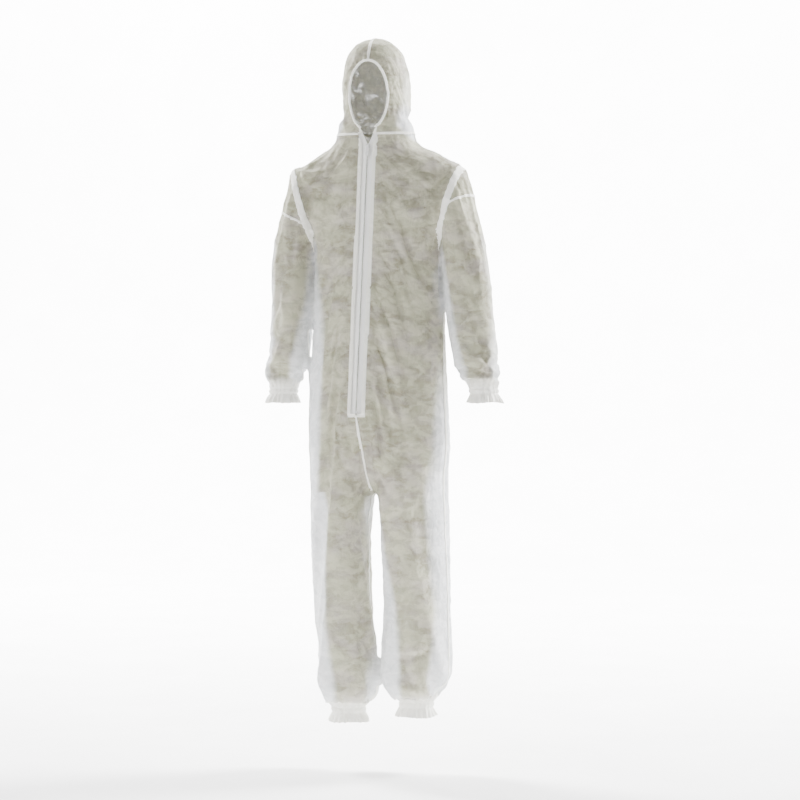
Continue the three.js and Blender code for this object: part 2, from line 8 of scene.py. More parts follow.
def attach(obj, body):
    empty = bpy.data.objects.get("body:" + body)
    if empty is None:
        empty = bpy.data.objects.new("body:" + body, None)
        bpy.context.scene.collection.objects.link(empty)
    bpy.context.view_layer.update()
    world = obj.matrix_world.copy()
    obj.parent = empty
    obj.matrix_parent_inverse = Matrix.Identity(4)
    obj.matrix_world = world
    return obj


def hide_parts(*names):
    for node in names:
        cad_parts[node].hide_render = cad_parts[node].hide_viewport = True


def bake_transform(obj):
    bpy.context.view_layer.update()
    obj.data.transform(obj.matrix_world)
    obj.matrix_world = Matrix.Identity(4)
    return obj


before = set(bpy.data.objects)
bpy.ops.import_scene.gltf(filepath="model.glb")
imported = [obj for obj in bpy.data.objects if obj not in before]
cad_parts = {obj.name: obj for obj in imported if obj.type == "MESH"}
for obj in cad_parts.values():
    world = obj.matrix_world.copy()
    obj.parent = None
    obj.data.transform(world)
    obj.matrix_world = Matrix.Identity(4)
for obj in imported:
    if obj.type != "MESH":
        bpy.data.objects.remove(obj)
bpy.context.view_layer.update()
scene = bpy.context.scene

# Lengths in the dictionaries are millimetres. +X is the wearer's left, the front is towards -Y.
mm = 0.001
left, right = 1, -1
sideNames = {left: "left", right: "right"}


def between(value, first, second):
    t = np.clip((np.asarray(value, float) - first) / (second - first), 0, 1)
    return t * t * (3 - 2 * t)


# Camera, floor and lights.
studio = {"azimuth": 13.0, "height": -640, "aimX": 55, "aimZ": -655, "distance": 5440, "lens": 96,
          "worldStrength": 0.22, "floorZ": -1603, "floorSize": 22000, "sweepRadius": 3000,
          "sweepBack": 8500, "sweepTall": 9000, "sweepSteps": 24}

# Each lamp's (power, size in metres, place, aim). The two washes reach only the backdrop and the floor.
lamps = {"key": (175, 1.8, (-3000, -2600, 1900), (0, 0, -700)),
         "fill": (30, 3.0, (3200, -2900, 300), (0, 0, -700)),
         "top": (40, 2.4, (900, 1300, 2400), (0, 0, -700)),
         "wash_left": (5200, 4.0, (-4500, 3000, 4200), (-900, 8500, -500)),
         "wash_right": (5200, 4.0, (4500, 3000, 4200), (900, 8500, -500))}


def makeCamera():
    data = bpy.data.cameras.new("camera")
    data.lens = studio["lens"]
    eye = bpy.data.objects.new("camera", data)
    scene.collection.objects.link(eye)
    turn = math.radians(studio["azimuth"])
    aim = Vector((studio["aimX"], 0, studio["aimZ"])) * mm
    away = Vector((math.sin(turn), -math.cos(turn), 0)) * studio["distance"] * mm
    eye.location = aim + away
    eye.location.z = studio["height"] * mm
    eye.rotation_euler = (aim - eye.location).to_track_quat("-Z", "Y").to_euler()
    scene.camera = eye


def addLight(name, energy, size, place, aim):
    data = bpy.data.lights.new(name, "AREA")
    data.energy, data.shape, data.size = energy, "DISK", size
    lamp = bpy.data.objects.new(name, data)
    scene.collection.objects.link(lamp)
    lamp.location = Vector(place) * mm
    lamp.rotation_euler = (Vector(aim) * mm - lamp.location).to_track_quat("-Z", "Y").to_euler()


def makeStudio():
    world = bpy.data.worlds.new("studio")
    world.use_nodes = True
    backdrop = world.node_tree.nodes["Background"]
    backdrop.inputs[0].default_value = (1, 1, 1, 1)
    backdrop.inputs[1].default_value = studio["worldStrength"]
    scene.world = world
    for name, settings in lamps.items():
        addLight(name, *settings)


makeCamera()
makeStudio()
print("camera and lights placed")


# A socket that can be added, multiplied and limited like a number.
class Wire:
    def __init__(self, tree, socket):
        self.tree, self.socket = tree, socket

    def join(self, operation, first, second):
        node = self.tree.nodes.new("ShaderNodeMath")
        node.operation = operation
        for slot, value in zip(node.inputs, (first, second)):
            if isinstance(value, Wire):
                self.tree.links.new(value.socket, slot)
            else:
                slot.default_value = value
        return Wire(self.tree, node.outputs[0])

    def __add__(self, other):
        return self.join("ADD", self, other)

    def __sub__(self, other):
        return self.join("SUBTRACT", self, other)

    def __rsub__(self, other):
        return self.join("SUBTRACT", other, self)

    def __mul__(self, other):
        return self.join("MULTIPLY", self, other)

    def least(self, other):
        return self.join("MINIMUM", self, other)

    def most(self, other):
        return self.join("MAXIMUM", self, other)

    def ramp(self, low, high):
        tree = self.tree
        node = tree.nodes.new("ShaderNodeMapRange")
        node.interpolation_type = "SMOOTHSTEP"
        tree.links.new(self.socket, node.inputs["Value"])
        node.inputs["From Min"].default_value, node.inputs["From Max"].default_value = low, high
        return Wire(tree, node.outputs["Result"])

    __radd__, __rmul__ = __add__, __mul__


class Finish:
    def __init__(self, name):
        self.material = bpy.data.materials.new(name)
        self.material.use_nodes = True
        self.tree = self.material.node_tree
        self.tree.nodes.clear()

    def add(self, kind, settings=None, inputs=None, output=0):
        node = self.tree.nodes.new(kind)
        for key, value in (settings or {}).items():
            setattr(node, key, value)
        for key, value in (inputs or {}).items():
            if isinstance(value, Wire):
                self.tree.links.new(value.socket, node.inputs[key])
            else:
                node.inputs[key].default_value = value
        return Wire(self.tree, node.outputs[output])

    def noise(self, where, scale, detail=3.0, rough=0.5, stretch=None, distortion=0.0):
        if stretch:
            where = self.add("ShaderNodeVectorMath", {"operation": "MULTIPLY"}, {0: where, 1: stretch})
        return self.add("ShaderNodeTexNoise", None, {"Vector": where, "Scale": scale, "Detail": detail,
                                                     "Roughness": rough, "Distortion": distortion})

    def mixColour(self, factor, first, second):
        return self.add("ShaderNodeMix", {"data_type": "RGBA"}, {"Factor": factor, 6: first, 7: second}, 2)

    def bump(self, height, distance, strength=1.0):
        return self.add("ShaderNodeBump", None, {"Height": height, "Distance": distance, "Strength": strength})

    def finish(self, shader):
        output = self.tree.nodes.new("ShaderNodeOutputMaterial")
        self.tree.links.new(shader.socket, output.inputs["Surface"])
        return self.material


def linear(*colour):
    shares = [c / 255 for c in colour]
    return tuple(c / 12.92 if c <= 10 / 255 else ((c + 0.055) / 1.055) ** 2.4 for c in shares)


# The cloth: thin spunbonded nonwoven, cloudy where its fibres lie thicker.
# The first two colours are painted shade: the grey-beige of the wearer's dark form and shadow behind the thin cloth.
# The others are the cloth's own.
clothLook = {"wearerShadeThin": (131, 128, 108), "wearerShadeThick": (183, 180, 160), "freeThin": (214, 217, 220),
             "freeThick": (240, 241, 243), "fold": (255, 254, 246), "cloudScale": 27, "blotchScale": 11,
             "bondPitch": 1.9, "translucent": 0.16}


def makeClothFinish(name, alphaThin, alphaThick):
    look = clothLook
    f = Finish(name)
    place = f.add("ShaderNodeAttribute", {"attribute_name": "restPlace"}, None, "Vector")
    wearerShade = f.add("ShaderNodeAttribute", {"attribute_name": "wearerShade"}, None, "Fac")
    plies = f.add("ShaderNodeAttribute", {"attribute_name": "plies"}, None, "Fac")
    cloud = f.noise(place, look["cloudScale"], 6.0, 0.62, (1.0, 1.0, 1.9), 0.6)
    blotch = f.noise(place, look["blotchScale"], 3.0, 0.5, (1.0, 1.0, 1.6))
    fibre = f.noise(place, 260, 2.0, 0.6, (1.0, 1.0, 0.35))
    fibreAcross = f.noise(place, 210, 2.0, 0.6, (0.4, 0.4, 1.5))
    thick = (cloud.ramp(0.4, 0.6) * 0.6 + blotch.ramp(0.4, 0.61) * 0.4 + (fibre - 0.5) * 0.4
             + (fibreAcross - 0.5) * 0.25)
    thick = thick.most(0.0).least(1.0)
    tint = f.noise(place, 13, 2.0, 0.5, (1.0, 1.0, 1.7))
    # painted shade: where the wearer lies behind it, the cloth is coloured a cloudy grey-beige instead of its own
    # white
    wearerShadeColour = f.mixColour(thick, (*linear(*look["wearerShadeThin"]), 1), (*linear(*look["wearerShadeThick"]), 1))
    warm = f.mixColour(tint.ramp(0.45, 0.66) * 0.4, wearerShadeColour, (*linear(176, 177, 150), 1))
    cool = f.mixColour(tint.ramp(0.5, 0.32) * 0.35, warm, (*linear(172, 163, 162), 1))
    freeColour = f.mixColour(thick, (*linear(*look["freeThin"]), 1), (*linear(*look["freeThick"]), 1))
    single = f.mixColour(wearerShade, freeColour, cool)
    colour = f.mixColour(plies, single, (*linear(*look["fold"]), 1))
    bonds = f.add("ShaderNodeTexVoronoi", {"feature": "F1"}, {
        "Vector": f.add("ShaderNodeVectorMath", {"operation": "MULTIPLY"}, {0: place, 1: (1, 1, 1.25)}),
        "Scale": 1000 / look["bondPitch"], "Randomness": 0.25})
    wrinkle = f.noise(place, 34, 5.0, 0.62, (1.0, 1.0, 0.8), 1.2)
    height = bonds.ramp(0.0, 0.45) * 0.05 + wrinkle * 1.0 + fibre * 0.03
    normal = f.bump(height, 0.005, 0.8)
    alpha = (thick * (alphaThick - alphaThin) + alphaThin + plies * 0.3 + wearerShade * 0.14).least(1.0)
    skin = f.add("ShaderNodeBsdfPrincipled", None, {
        "Base Color": colour, "Roughness": 0.82, "Normal": normal, "Alpha": alpha,
        "Specular IOR Level": 0.25, "Sheen Weight": 0.1, "Sheen Roughness": 0.6})
    through = f.add("ShaderNodeBsdfTranslucent", None, {"Color": (0.86, 0.86, 0.84, 1), "Normal": normal})
    glow = (1.0 - wearerShade.most(plies)) * look["translucent"] + 0.02
    return f.finish(f.add("ShaderNodeMixShader", None, {0: glow, 1: skin, 2: through}))


def makePlainFinish(name, colour, roughness, grain=None, depth=0.0002, metallic=0.0, coat=0.0):
    f = Finish(name)
    place = f.add("ShaderNodeTexCoord", None, None, "Object")
    spots = f.noise(place, grain or 400, 3.0, 0.6)
    tone = f.mixColour(spots, (*linear(*(c * 0.93 for c in colour)), 1), (*linear(*colour), 1))
    skin = f.add("ShaderNodeBsdfPrincipled", None, {
        "Base Color": tone, "Roughness": spots * 0.12 + (roughness - 0.06), "Metallic": metallic,
        "Coat Weight": coat, "Normal": f.bump(spots, depth, 0.6)})
    return f.finish(skin)


def makeTapeFinish(name):
    f = Finish(name)
    place = f.add("ShaderNodeTexCoord", None, None, "Object")
    rows = f.add("ShaderNodeTexWave", {"wave_type": "BANDS", "bands_direction": "Z"},
                 {"Vector": place, "Scale": 420.0, "Distortion": 0.4, "Detail": 1.0})
    cords = f.add("ShaderNodeTexWave", {"wave_type": "BANDS", "bands_direction": "X"},
                  {"Vector": place, "Scale": 300.0, "Distortion": 0.3})
    weave = rows * 0.5 + cords * 0.5
    tone = f.mixColour(weave, (*linear(248, 247, 242), 1), (*linear(255, 255, 252), 1))
    skin = f.add("ShaderNodeBsdfPrincipled", None, {"Base Color": tone, "Roughness": 0.78,
                                                    "Normal": f.bump(weave, 0.0003, 0.7)})
    return f.finish(skin)


clothFinish = makeClothFinish("nonwoven", 0.80, 0.97)
doubleFinish = makeClothFinish("nonwoven_double", 0.94, 1.0)
threadFinish = makePlainFinish("sewing_thread", (240, 240, 234), 0.7, 900)
elasticFinish = makePlainFinish("knitted_elastic", (236, 235, 228), 0.8, 700)
nylonFinish = makePlainFinish("white_nylon", (243, 243, 240), 0.38, 300, 0.0001)
lacquerFinish = makePlainFinish("white_lacquer", (236, 236, 233), 0.3, 200, 0.0001, 0.0, 0.5)
tapeFinish = makeTapeFinish("zip_tape_weave")
print("finishes made")

# The suit's shape: levels of (height, middle, half width, depth in front, depth behind).
suit = {"headLean": -8, "zipTop": -10, "zipBottom": -690, "zipDrift": 0.023, "zipSlope": 0.09, "neckFront": 88,
        "crotch": -862, "roundness": 2.3, "voxel": 11.0, "neckFrontZ": 16, "neckBackZ": 34,
        "shoulderX": 226, "shoulderZ": -70, "underarmX": 164, "underarmZ": -268,
        "wrist": {left: -622, right: -622}, "ankle": {left: -1418, right: -1436},
        "joinZ": {left: -144, right: -182}, "tapeReveal": 14}


def bodyMiddle(z):
    return suit["headLean"] * min(1, max(0, (z + 130) / (suit["zipTop"] + 130)))


def zipMiddle(z):
    if z > suit["zipTop"]:
        return suit["headLean"]
    down = max(z, suit["zipBottom"]) - suit["zipTop"]
    below = min(1, max(0, (z - suit["zipBottom"]) / (suit["crotch"] - suit["zipBottom"])))
    return (suit["headLean"] + suit["zipDrift"] * down) * (1 - below)


def zipDepth(z):
    return suit["neckFront"] - suit["zipSlope"] * z


torsoLevels = [(48, 88, 78, 90), (16, 95, zipDepth(16), 97), (-8, 104, zipDepth(-8), 102),
               (-40, 168, zipDepth(-40), 108), (-70, 228, zipDepth(-70), 114), (-130, 210, zipDepth(-130), 124),
               (-268, 160, zipDepth(-268), 132), (-470, 163, zipDepth(-470), 134), (-600, 175, zipDepth(-600), 140),
               (-690, 184, zipDepth(-690), 146), (-770, 186, 142, 144), (-830, 172, 104, 114), (-862, 140, 48, 58)]
hoodLevels = [(268, 7, 8, 10), (264, 26, 28, 40), (251, 48, 52, 74), (230, 65, 73, 100), (202, 77, 88, 118),
              (165, 83, 94, 124), (114, 83, 94, 124), (72, 86, 91, 115), (36, 96, 88, 102), (16, 102, 87, 98),
              (-30, 108, 76, 92)]
sleeveLevels = {
    left: [(-60, 176, 24, 34), (-84, 186, 42, 58), (-141, 191, 56, 76), (-268, 224, 57, 80), (-403, 236, 53, 74),
           (-534, 257, 51, 66), (-586, 265, 50, 56), (-622, 271, 36, 36), (-652, 275, 36, 36)],
    right: [(-60, 176, 24, 34), (-84, 186, 42, 58), (-141, 191, 56, 76), (-268, 225, 57, 80), (-403, 232, 53, 74),
            (-534, 244, 51, 66), (-586, 249, 50, 56), (-622, 252, 36, 36), (-652, 255, 36, 36)]}
legLevels = {
    left: [(-700, 92, 72, 100, 108), (-770, 93, 82, 124, 130), (-870, 94, 84, 124, 128), (-960, 101, 83, 112, 116),
           (-1190, 113, 82, 98, 100), (-1268, 111, 88, 98, 102), (-1338, 106, 92, 94, 104),
           (-1388, 101, 66, 70, 76), (-1418, 98, 43, 43, 43), (-1448, 96, 43, 43, 43)],
    right: [(-700, 94, 72, 100, 108), (-770, 96, 82, 124, 130), (-870, 97, 84, 124, 128), (-960, 101, 83, 112, 116),
            (-1190, 95, 82, 98, 100), (-1286, 89, 80, 98, 102), (-1356, 84, 84, 94, 104),
            (-1406, 81, 66, 70, 76), (-1436, 80, 43, 43, 43), (-1466, 78, 43, 43, 43)]}

# The wearer's own form, which the cloth falls over and lies against. It is removed afterwards.
form = {"torso": [(30, -6, 62, 62, 66), (-4, -6, 92, 66, 76), (-40, 0, 160, 78, 90), (-70, 0, 213, 84, 94),
                  (-92, 0, 204, 88, 98), (-150, 4, 176, 98, 104), (-268, 0, 132, 108, 112),
                  (-400, 2, 140, 112, 108), (-600, 8, 150, 128, 122), (-720, 6, 158, 134, 130),
                  (-800, 0, 160, 116, 122), (-850, 0, 120, 80, 84)],
        "head": [(262, -8, 20, 24, 30), (240, -8, 54, 62, 84), (190, -8, 74, 84, 112), (110, -8, 74, 82, 112),
                 (40, -8, 64, 60, 84), (-20, -8, 62, 58, 80)],
        "leftArm": [(-80, 190, 34, 46, 46), (-150, 196, 44, 60, 60), (-268, 226, 42, 60, 60), (-402, 248, 40, 52, 52),
                    (-534, 264, 34, 40, 40), (-640, 272, 28, 28, 28)],
        "rightArm": [(-80, -190, 34, 46, 46), (-150, -196, 44, 60, 60), (-268, -226, 42, 60, 60),
                     (-402, -234, 40, 52, 52), (-534, -248, 30, 40, 40), (-640, -253, 28, 28, 28)],
        "leftLeg": [(-780, 84, 66, 108, 112), (-900, 80, 62, 96, 100), (-1034, 86, 52, 80, 80),
                    (-1236, 104, 48, 66, 70), (-1356, 101, 31, 40, 44), (-1440, 97, 28, 32, 34)],
        "rightLeg": [(-780, -86, 66, 108, 112), (-900, -100, 60, 96, 100), (-1034, -92, 50, 80, 80),
                     (-1236, -79, 46, 66, 70), (-1356, -76, 31, 40, 44), (-1460, -77, 28, 32, 34)]}

# Where the cloth lies against the wearer it gets a painted shade, a grey-beige that stands for the wearer's dark form
# and shadow behind the thin cloth: (height, middle, half width).
wearerShade = {"torso": [(40, -8, 66), (4, -8, 100), (-40, 0, 180), (-70, 0, 232), (-150, 4, 206), (-262, 10, 162),
                  (-330, 3, 146), (-400, 10, 148), (-500, 16, 158), (-600, 14, 158), (-760, 12, 160), (-862, 4, 156)],
        "head": [(262, -8, 36), (240, -8, 68), (190, -8, 84), (110, -8, 84), (60, -8, 72), (16, -8, 64)],
        "leftArm": [(-66, 215, 60), (-200, 212, 62), (-280, 232, 50), (-402, 251, 41), (-534, 268, 35),
                     (-620, 272, 30)],
        "rightArm": [(-66, -215, 60), (-200, -208, 60), (-280, -224, 50), (-402, -231, 43), (-534, -249, 28),
                     (-620, -252, 28)],
        "leftLeg": [(-862, 88, 70), (-917, 98, 62), (-1068, 116, 54), (-1168, 131, 48), (-1270, 128, 44),
                    (-1359, 118, 38), (-1430, 106, 34)],
        "rightLeg": [(-862, -76, 66), (-917, -72, 50), (-1068, -64, 54), (-1168, -62, 56), (-1270, -58, 48),
                     (-1359, -53, 38), (-1450, -66, 34)]}


def loftSolid(levels, segments, follow=False):
    power = 2 / suit["roundness"]
    points, faces = [], []
    for z, middle, width, depthFront, depthBack in levels:
        drift = zipMiddle(z) - bodyMiddle(z) if follow else 0
        for i in range(segments):
            c, s = math.cos(2 * math.pi * i / segments), math.sin(2 * math.pi * i / segments)
            depth = depthFront if s < 0 else depthBack
            x = middle + (drift * s * s if s < 0 else 0) + width * math.copysign(abs(c) ** power, c)
            points.append(Vector((x, depth * math.copysign(abs(s) ** power, s), z)) * mm)
    last = len(levels) - 1
    for r in range(last):
        for i in range(segments):
            j = (i + 1) % segments
            faces.append((r * segments + i, (r + 1) * segments + i, (r + 1) * segments + j, r * segments + j))
    faces.append(tuple(range(segments)))
    faces.append(tuple(last * segments + i for i in reversed(range(segments))))
    return points, faces


def smoothLevels(levels, step):
    # cubic through the given levels, so that the cloth has no kink at a level
    rows = np.array(levels, float)
    heights = rows[:, 0]
    count = max(2, int(abs(heights[0] - heights[-1]) / step))
    wanted = np.linspace(heights[0], heights[-1], count)
    slope = np.gradient(rows, heights, axis=0) * 0.6
    result = []
    for z in wanted:
        i = min(len(rows) - 2, max(0, int(np.searchsorted(-heights, -z, side="right")) - 1))
        span = heights[i + 1] - heights[i]
        t = (z - heights[i]) / span
        a = (2 * t ** 3 - 3 * t ** 2 + 1) * rows[i] + (t ** 3 - 2 * t ** 2 + t) * span * slope[i]
        b = (-2 * t ** 3 + 3 * t ** 2) * rows[i + 1] + (t ** 3 - t ** 2) * span * slope[i + 1]
        result.append((z, *(a + b)[1:]))
    return result


def placed(name, mesh):
    made = bpy.data.objects.new(name, mesh)
    scene.collection.objects.link(made)
    return made


def meshObject(name, points, faces, edges=()):
    mesh = bpy.data.meshes.new(name)
    mesh.from_pydata([tuple(p) for p in points], edges, faces)
    mesh.update()
    return placed(name, mesh)


def joined(name, parts):
    points, faces = [], []
    for somePoints, someFaces in parts:
        start = len(points)
        points += somePoints
        faces += [tuple(start + i for i in face) for face in someFaces]
    return meshObject(name, points, faces)


def evaluatedMesh(made):
    depsgraph = bpy.context.evaluated_depsgraph_get()
    return bpy.data.meshes.new_from_object(made.evaluated_get(depsgraph), depsgraph=depsgraph)


def applied(made):
    made.data = evaluatedMesh(made)
    made.modifiers.clear()
    return made


def smoothFaces(made):
    made.data.polygons.foreach_set("use_smooth", np.ones(len(made.data.polygons), bool))


def thickened(made, thick):
    modifier = made.modifiers.new("thickness", "SOLIDIFY")
    modifier.thickness, modifier.offset = thick * mm, -1
    return applied(made)


def remeshed(made, voxel):
    modifier = made.modifiers.new("voxels", "REMESH")
    modifier.mode, modifier.voxel_size = "VOXEL", voxel * mm
    return applied(made)


def trunkLevels(rows):
    return [(z, bodyMiddle(z), width, depthFront, depthBack) for z, width, depthFront, depthBack in rows]


def makeSuitSurface():
    parts = [loftSolid(smoothLevels(trunkLevels(torsoLevels), 12), 96, True),
             loftSolid(smoothLevels(trunkLevels(hoodLevels), 8), 72)]
    for side in (left, right):
        rows = [(z, side * x, width, depth, depth) for z, x, width, depth in sleeveLevels[side]]
        parts.append(loftSolid(smoothLevels(rows, 12), 48))
        rows = [(z, side * x, *sizes) for z, x, *sizes in legLevels[side]]
        parts.append(loftSolid(smoothLevels(rows, 12), 64))
    return remeshed(joined("suit_surface", parts), suit["voxel"])


surface = makeSuitSurface()
print("suit surface:", len(surface.data.vertices), "points")

# Where the cloth is cut and sewn.
seam = {"half": 2.4, "proud": 1.3, "snap": 3.2, "armholeFold": 16}
openV = {"height": 42, "half": 20}
face = {"half": 50, "top": 200, "middle": 114, "rimTall": 88, "steps": 44}
# Where the front lies, and where the sleeves' ends are looked for.
zone = {"frontY": -40, "sleeveX": 190, "sleeveZ": -700}


def faceOutline():
    start = math.acos(openV["half"] / face["half"])
    below = (face["middle"] - openV["height"] - suit["zipTop"]) / math.sin(start)
    outline = []
    for i in range(face["steps"] + 1):
        angle = -start + (math.pi + 2 * start) * i / face["steps"]
        tall = face["top"] - face["middle"] if math.sin(angle) > 0 else below
        outline.append((suit["headLean"] + face["half"] * math.cos(angle),
                        face["middle"] + tall * math.sin(angle)))
    return outline


def unit(*parts):
    parts = np.array(parts, float)
    return parts / np.linalg.norm(parts)


neckUp = unit(0, suit["neckFrontZ"] - suit["neckBackZ"], 186)
armOut = {s: unit(s * (suit["shoulderZ"] - suit["underarmZ"]), 0, suit["underarmX"] - suit["shoulderX"])
          for s in (left, right)}
joinUp = {s: unit(-s * math.sin(0.46), 0, math.cos(0.46)) for s in (left, right)}


def neckHeight(p):
    return (p - (0, -88, suit["neckFrontZ"])) @ neckUp


def armholeOut(p, side):
    return (p - (side * suit["shoulderX"], 0, suit["shoulderZ"])) @ armOut[side]


def joinHeight(p, side):
    return (p - (side * suit["shoulderX"], 0, suit["joinZ"][side])) @ joinUp[side]


def onSleeve(p, side):
    # under the armhole the sleeve hangs beside the body, with a gap that widens downwards
    gap = suit["underarmX"] + (suit["underarmZ"] - p[:, 2]) * 0.068
    beyond = np.where(p[:, 2] > suit["underarmZ"], armholeOut(p, side) > 0, p[:, 0] * side > gap)
    return beyond & (p[:, 0] * side > 100) & (p[:, 2] > -700)


def zipOffset(p):
    down = np.maximum(p[:, 2], suit["zipBottom"]) - suit["zipTop"]
    below = np.clip((p[:, 2] - suit["zipBottom"]) / (suit["crotch"] - suit["zipBottom"]), 0, 1)
    middle = np.where(p[:, 2] > suit["zipTop"], suit["headLean"],
                      (suit["headLean"] + suit["zipDrift"] * down) * (1 - below))
    return p[:, 0] - middle


def middles(faces):
    return np.array([f.calc_center_median() for f in faces]).reshape(-1, 3) / mm


def cutPlane(bm, point, normal, inside):
    # points near the plane are moved onto it first, so that the cut leaves no slivers
    point, normal = np.array(point, float), unit(*normal)
    points = np.array([v.co for v in bm.verts]) / mm
    off = (points - point) @ normal
    bm.verts.ensure_lookup_table()
    for i in np.flatnonzero(inside(points) & (np.abs(off) < seam["snap"])):
        bm.verts[i].co -= Vector(normal * off[i]) * mm
    faces = list(bm.faces)
    parts = {}
    for i in np.flatnonzero(inside(middles(faces))):
        for part in (faces[i], *faces[i].edges, *faces[i].verts):
            parts[part] = None
    bmesh.ops.bisect_plane(bm, geom=list(parts), plane_co=Vector(point) * mm, plane_no=normal, dist=1e-6)


def removeFaces(bm, gone):
    faces = list(bm.faces)
    bmesh.ops.delete(bm, geom=[faces[i] for i in np.flatnonzero(gone(middles(faces)))], context="FACES")


def cutSuit(made):
    bm = bmesh.new()
    bm.from_mesh(made.data)
    half = seam["half"]
    for s in (left, right):
        cutPlane(bm, (0, 0, suit["wrist"][s]), (0, 0, 1), lambda p: (p[:, 0] * s > 205) & (p[:, 2] < -560))
        cutPlane(bm, (0, 0, suit["ankle"][s]), (0, 0, 1), lambda p: (p[:, 0] * s > 0) & (p[:, 2] < -1350))
        removeFaces(bm, lambda p: (p[:, 0] * s > 205) & (p[:, 2] < suit["wrist"][s]) & (p[:, 2] > -720))
        removeFaces(bm, lambda p: (p[:, 0] * s > 0) & (p[:, 2] < suit["ankle"][s]))
    for offset in (0, -half, half):
        cutPlane(bm, (0, offset, 0), (0, 1, 0), lambda p: p[:, 0] < 1e9)
        cutPlane(bm, (0, -88, suit["neckFrontZ"] + offset), neckUp, lambda p: np.abs(p[:, 2] - 25) < 40)
        cutPlane(bm, (offset, 0, 0), (1, 0, 0), lambda p: (p[:, 1] > 0) & (np.abs(p[:, 0]) < 30)
                 & (p[:, 2] > suit["crotch"] - 30) & (p[:, 2] < 40))
        cutPlane(bm, (suit["headLean"] + offset, 0, 0), (1, 0, 0), lambda p: (p[:, 2] > 10) & (np.abs(p[:, 0]) < 60))
    for s in (left, right):
        tip = np.array((s * suit["shoulderX"], 0, suit["shoulderZ"]))
        for offset in (0, -seam["armholeFold"]):
            cutPlane(bm, tip + armOut[s] * offset, armOut[s],
                     lambda p: (p[:, 0] * s > 110) & (p[:, 2] > suit["underarmZ"] - 6) & (p[:, 2] < 0))
        for offset in (0, -half, half):
            join = np.array((s * suit["shoulderX"], 0, suit["joinZ"][s]))
            cutPlane(bm, join + joinUp[s] * offset, joinUp[s], lambda p: onSleeve(p, s))
    slant = (1, 0, -suit["zipDrift"])
    for offset in (14, -14, 22, -22):
        cutPlane(bm, (suit["headLean"] + offset, 0, suit["zipTop"]), slant, lambda p: (p[:, 1] < zone["frontY"])
                 & (p[:, 2] > suit["zipBottom"] - 30) & (p[:, 2] < suit["zipTop"] + 12) & (np.abs(p[:, 0]) < 60))
    foot = zipMiddle(suit["zipBottom"])
    for offset in (0, -half, half):
        cutPlane(bm, (foot + offset, 0, suit["zipBottom"]), (1, 0, foot / (suit["zipBottom"] - suit["crotch"]) * -1),
                 lambda p: (p[:, 1] < 0) & (np.abs(p[:, 0]) < 45) & (p[:, 2] > suit["crotch"] - 30)
                 & (p[:, 2] < suit["zipBottom"]))
    cutPlane(bm, (0, 0, suit["zipBottom"]), (0, 0, 1), lambda p: (p[:, 1] < 0) & (np.abs(p[:, 0]) < 60))
    path = [*faceOutline(), (suit["headLean"], suit["zipTop"])]
    for (x0, z0), (x1, z1) in zip(path, path[1:] + path[:1]):
        reach = math.hypot(x1 - x0, z1 - z0) / 2 + 9
        cutPlane(bm, ((x0 + x1) / 2, 0, (z0 + z1) / 2), (z1 - z0, 0, x0 - x1), lambda p: (p[:, 1] < -20)
                 & (np.hypot(p[:, 0] - (x0 + x1) / 2, p[:, 2] - (z0 + z1) / 2) < reach))
    for s in (left, right):
        # above the slider the panels' edges open with the V, as wide apart as the tapes are seen
        cutPlane(bm, (suit["headLean"] + s * suit["tapeReveal"], 0, suit["zipTop"]),
                 (openV["height"], 0, -s * openV["half"]), lambda p: (p[:, 1] < zone["frontY"])
                 & (np.abs(p[:, 0]) < 60)
                 & (p[:, 2] > suit["zipTop"] - 4) & (neckHeight(p) < 6) & (p[:, 0] * s > suit["headLean"] * s + 8))
    removeFaces(bm, lambda p: insideOutline(path, p))
    bmesh.ops.remove_doubles(bm, verts=bm.verts, dist=0.6 * mm)
    bmesh.ops.delete(bm, geom=[v for v in bm.verts if not v.link_faces], context="VERTS")
    bm.to_mesh(made.data)
    bm.free()


def insideOutline(path, p):
    inside = np.zeros(len(p), bool)
    for (x0, z0), (x1, z1) in zip(path, path[1:] + path[:1]):
        crosses = ((z0 > p[:, 2]) != (z1 > p[:, 2])) & (z0 != z1)
        along = (x1 - x0) * (p[:, 2] - z0) / ((z1 - z0) or 1) + x0
        inside ^= crosses & (p[:, 0] < along)
    return inside & (p[:, 1] < -20)


cutSuit(surface)
print("suit cut:", len(surface.data.vertices), "points")

# The cloth falls over the wearer's form.
fall = {"frames": 26, "grow": -0.035, "stiffness": 6, "bend": 0.12, "mass": 0.12, "airDamping": 2,
        "gap": 3.0, "cap": 24, "capDepth": 14}


def makeForm():
    parts = [loftSolid(smoothLevels(form["torso"], 20), 48), loftSolid(smoothLevels(form["head"], 20), 32)]
    for name in ("leftArm", "rightArm", "leftLeg", "rightLeg"):
        parts.append(loftSolid(smoothLevels(form[name], 20), 24))
    made = remeshed(joined("form", parts), 16)
    made.name = "wearer_form"
    return made


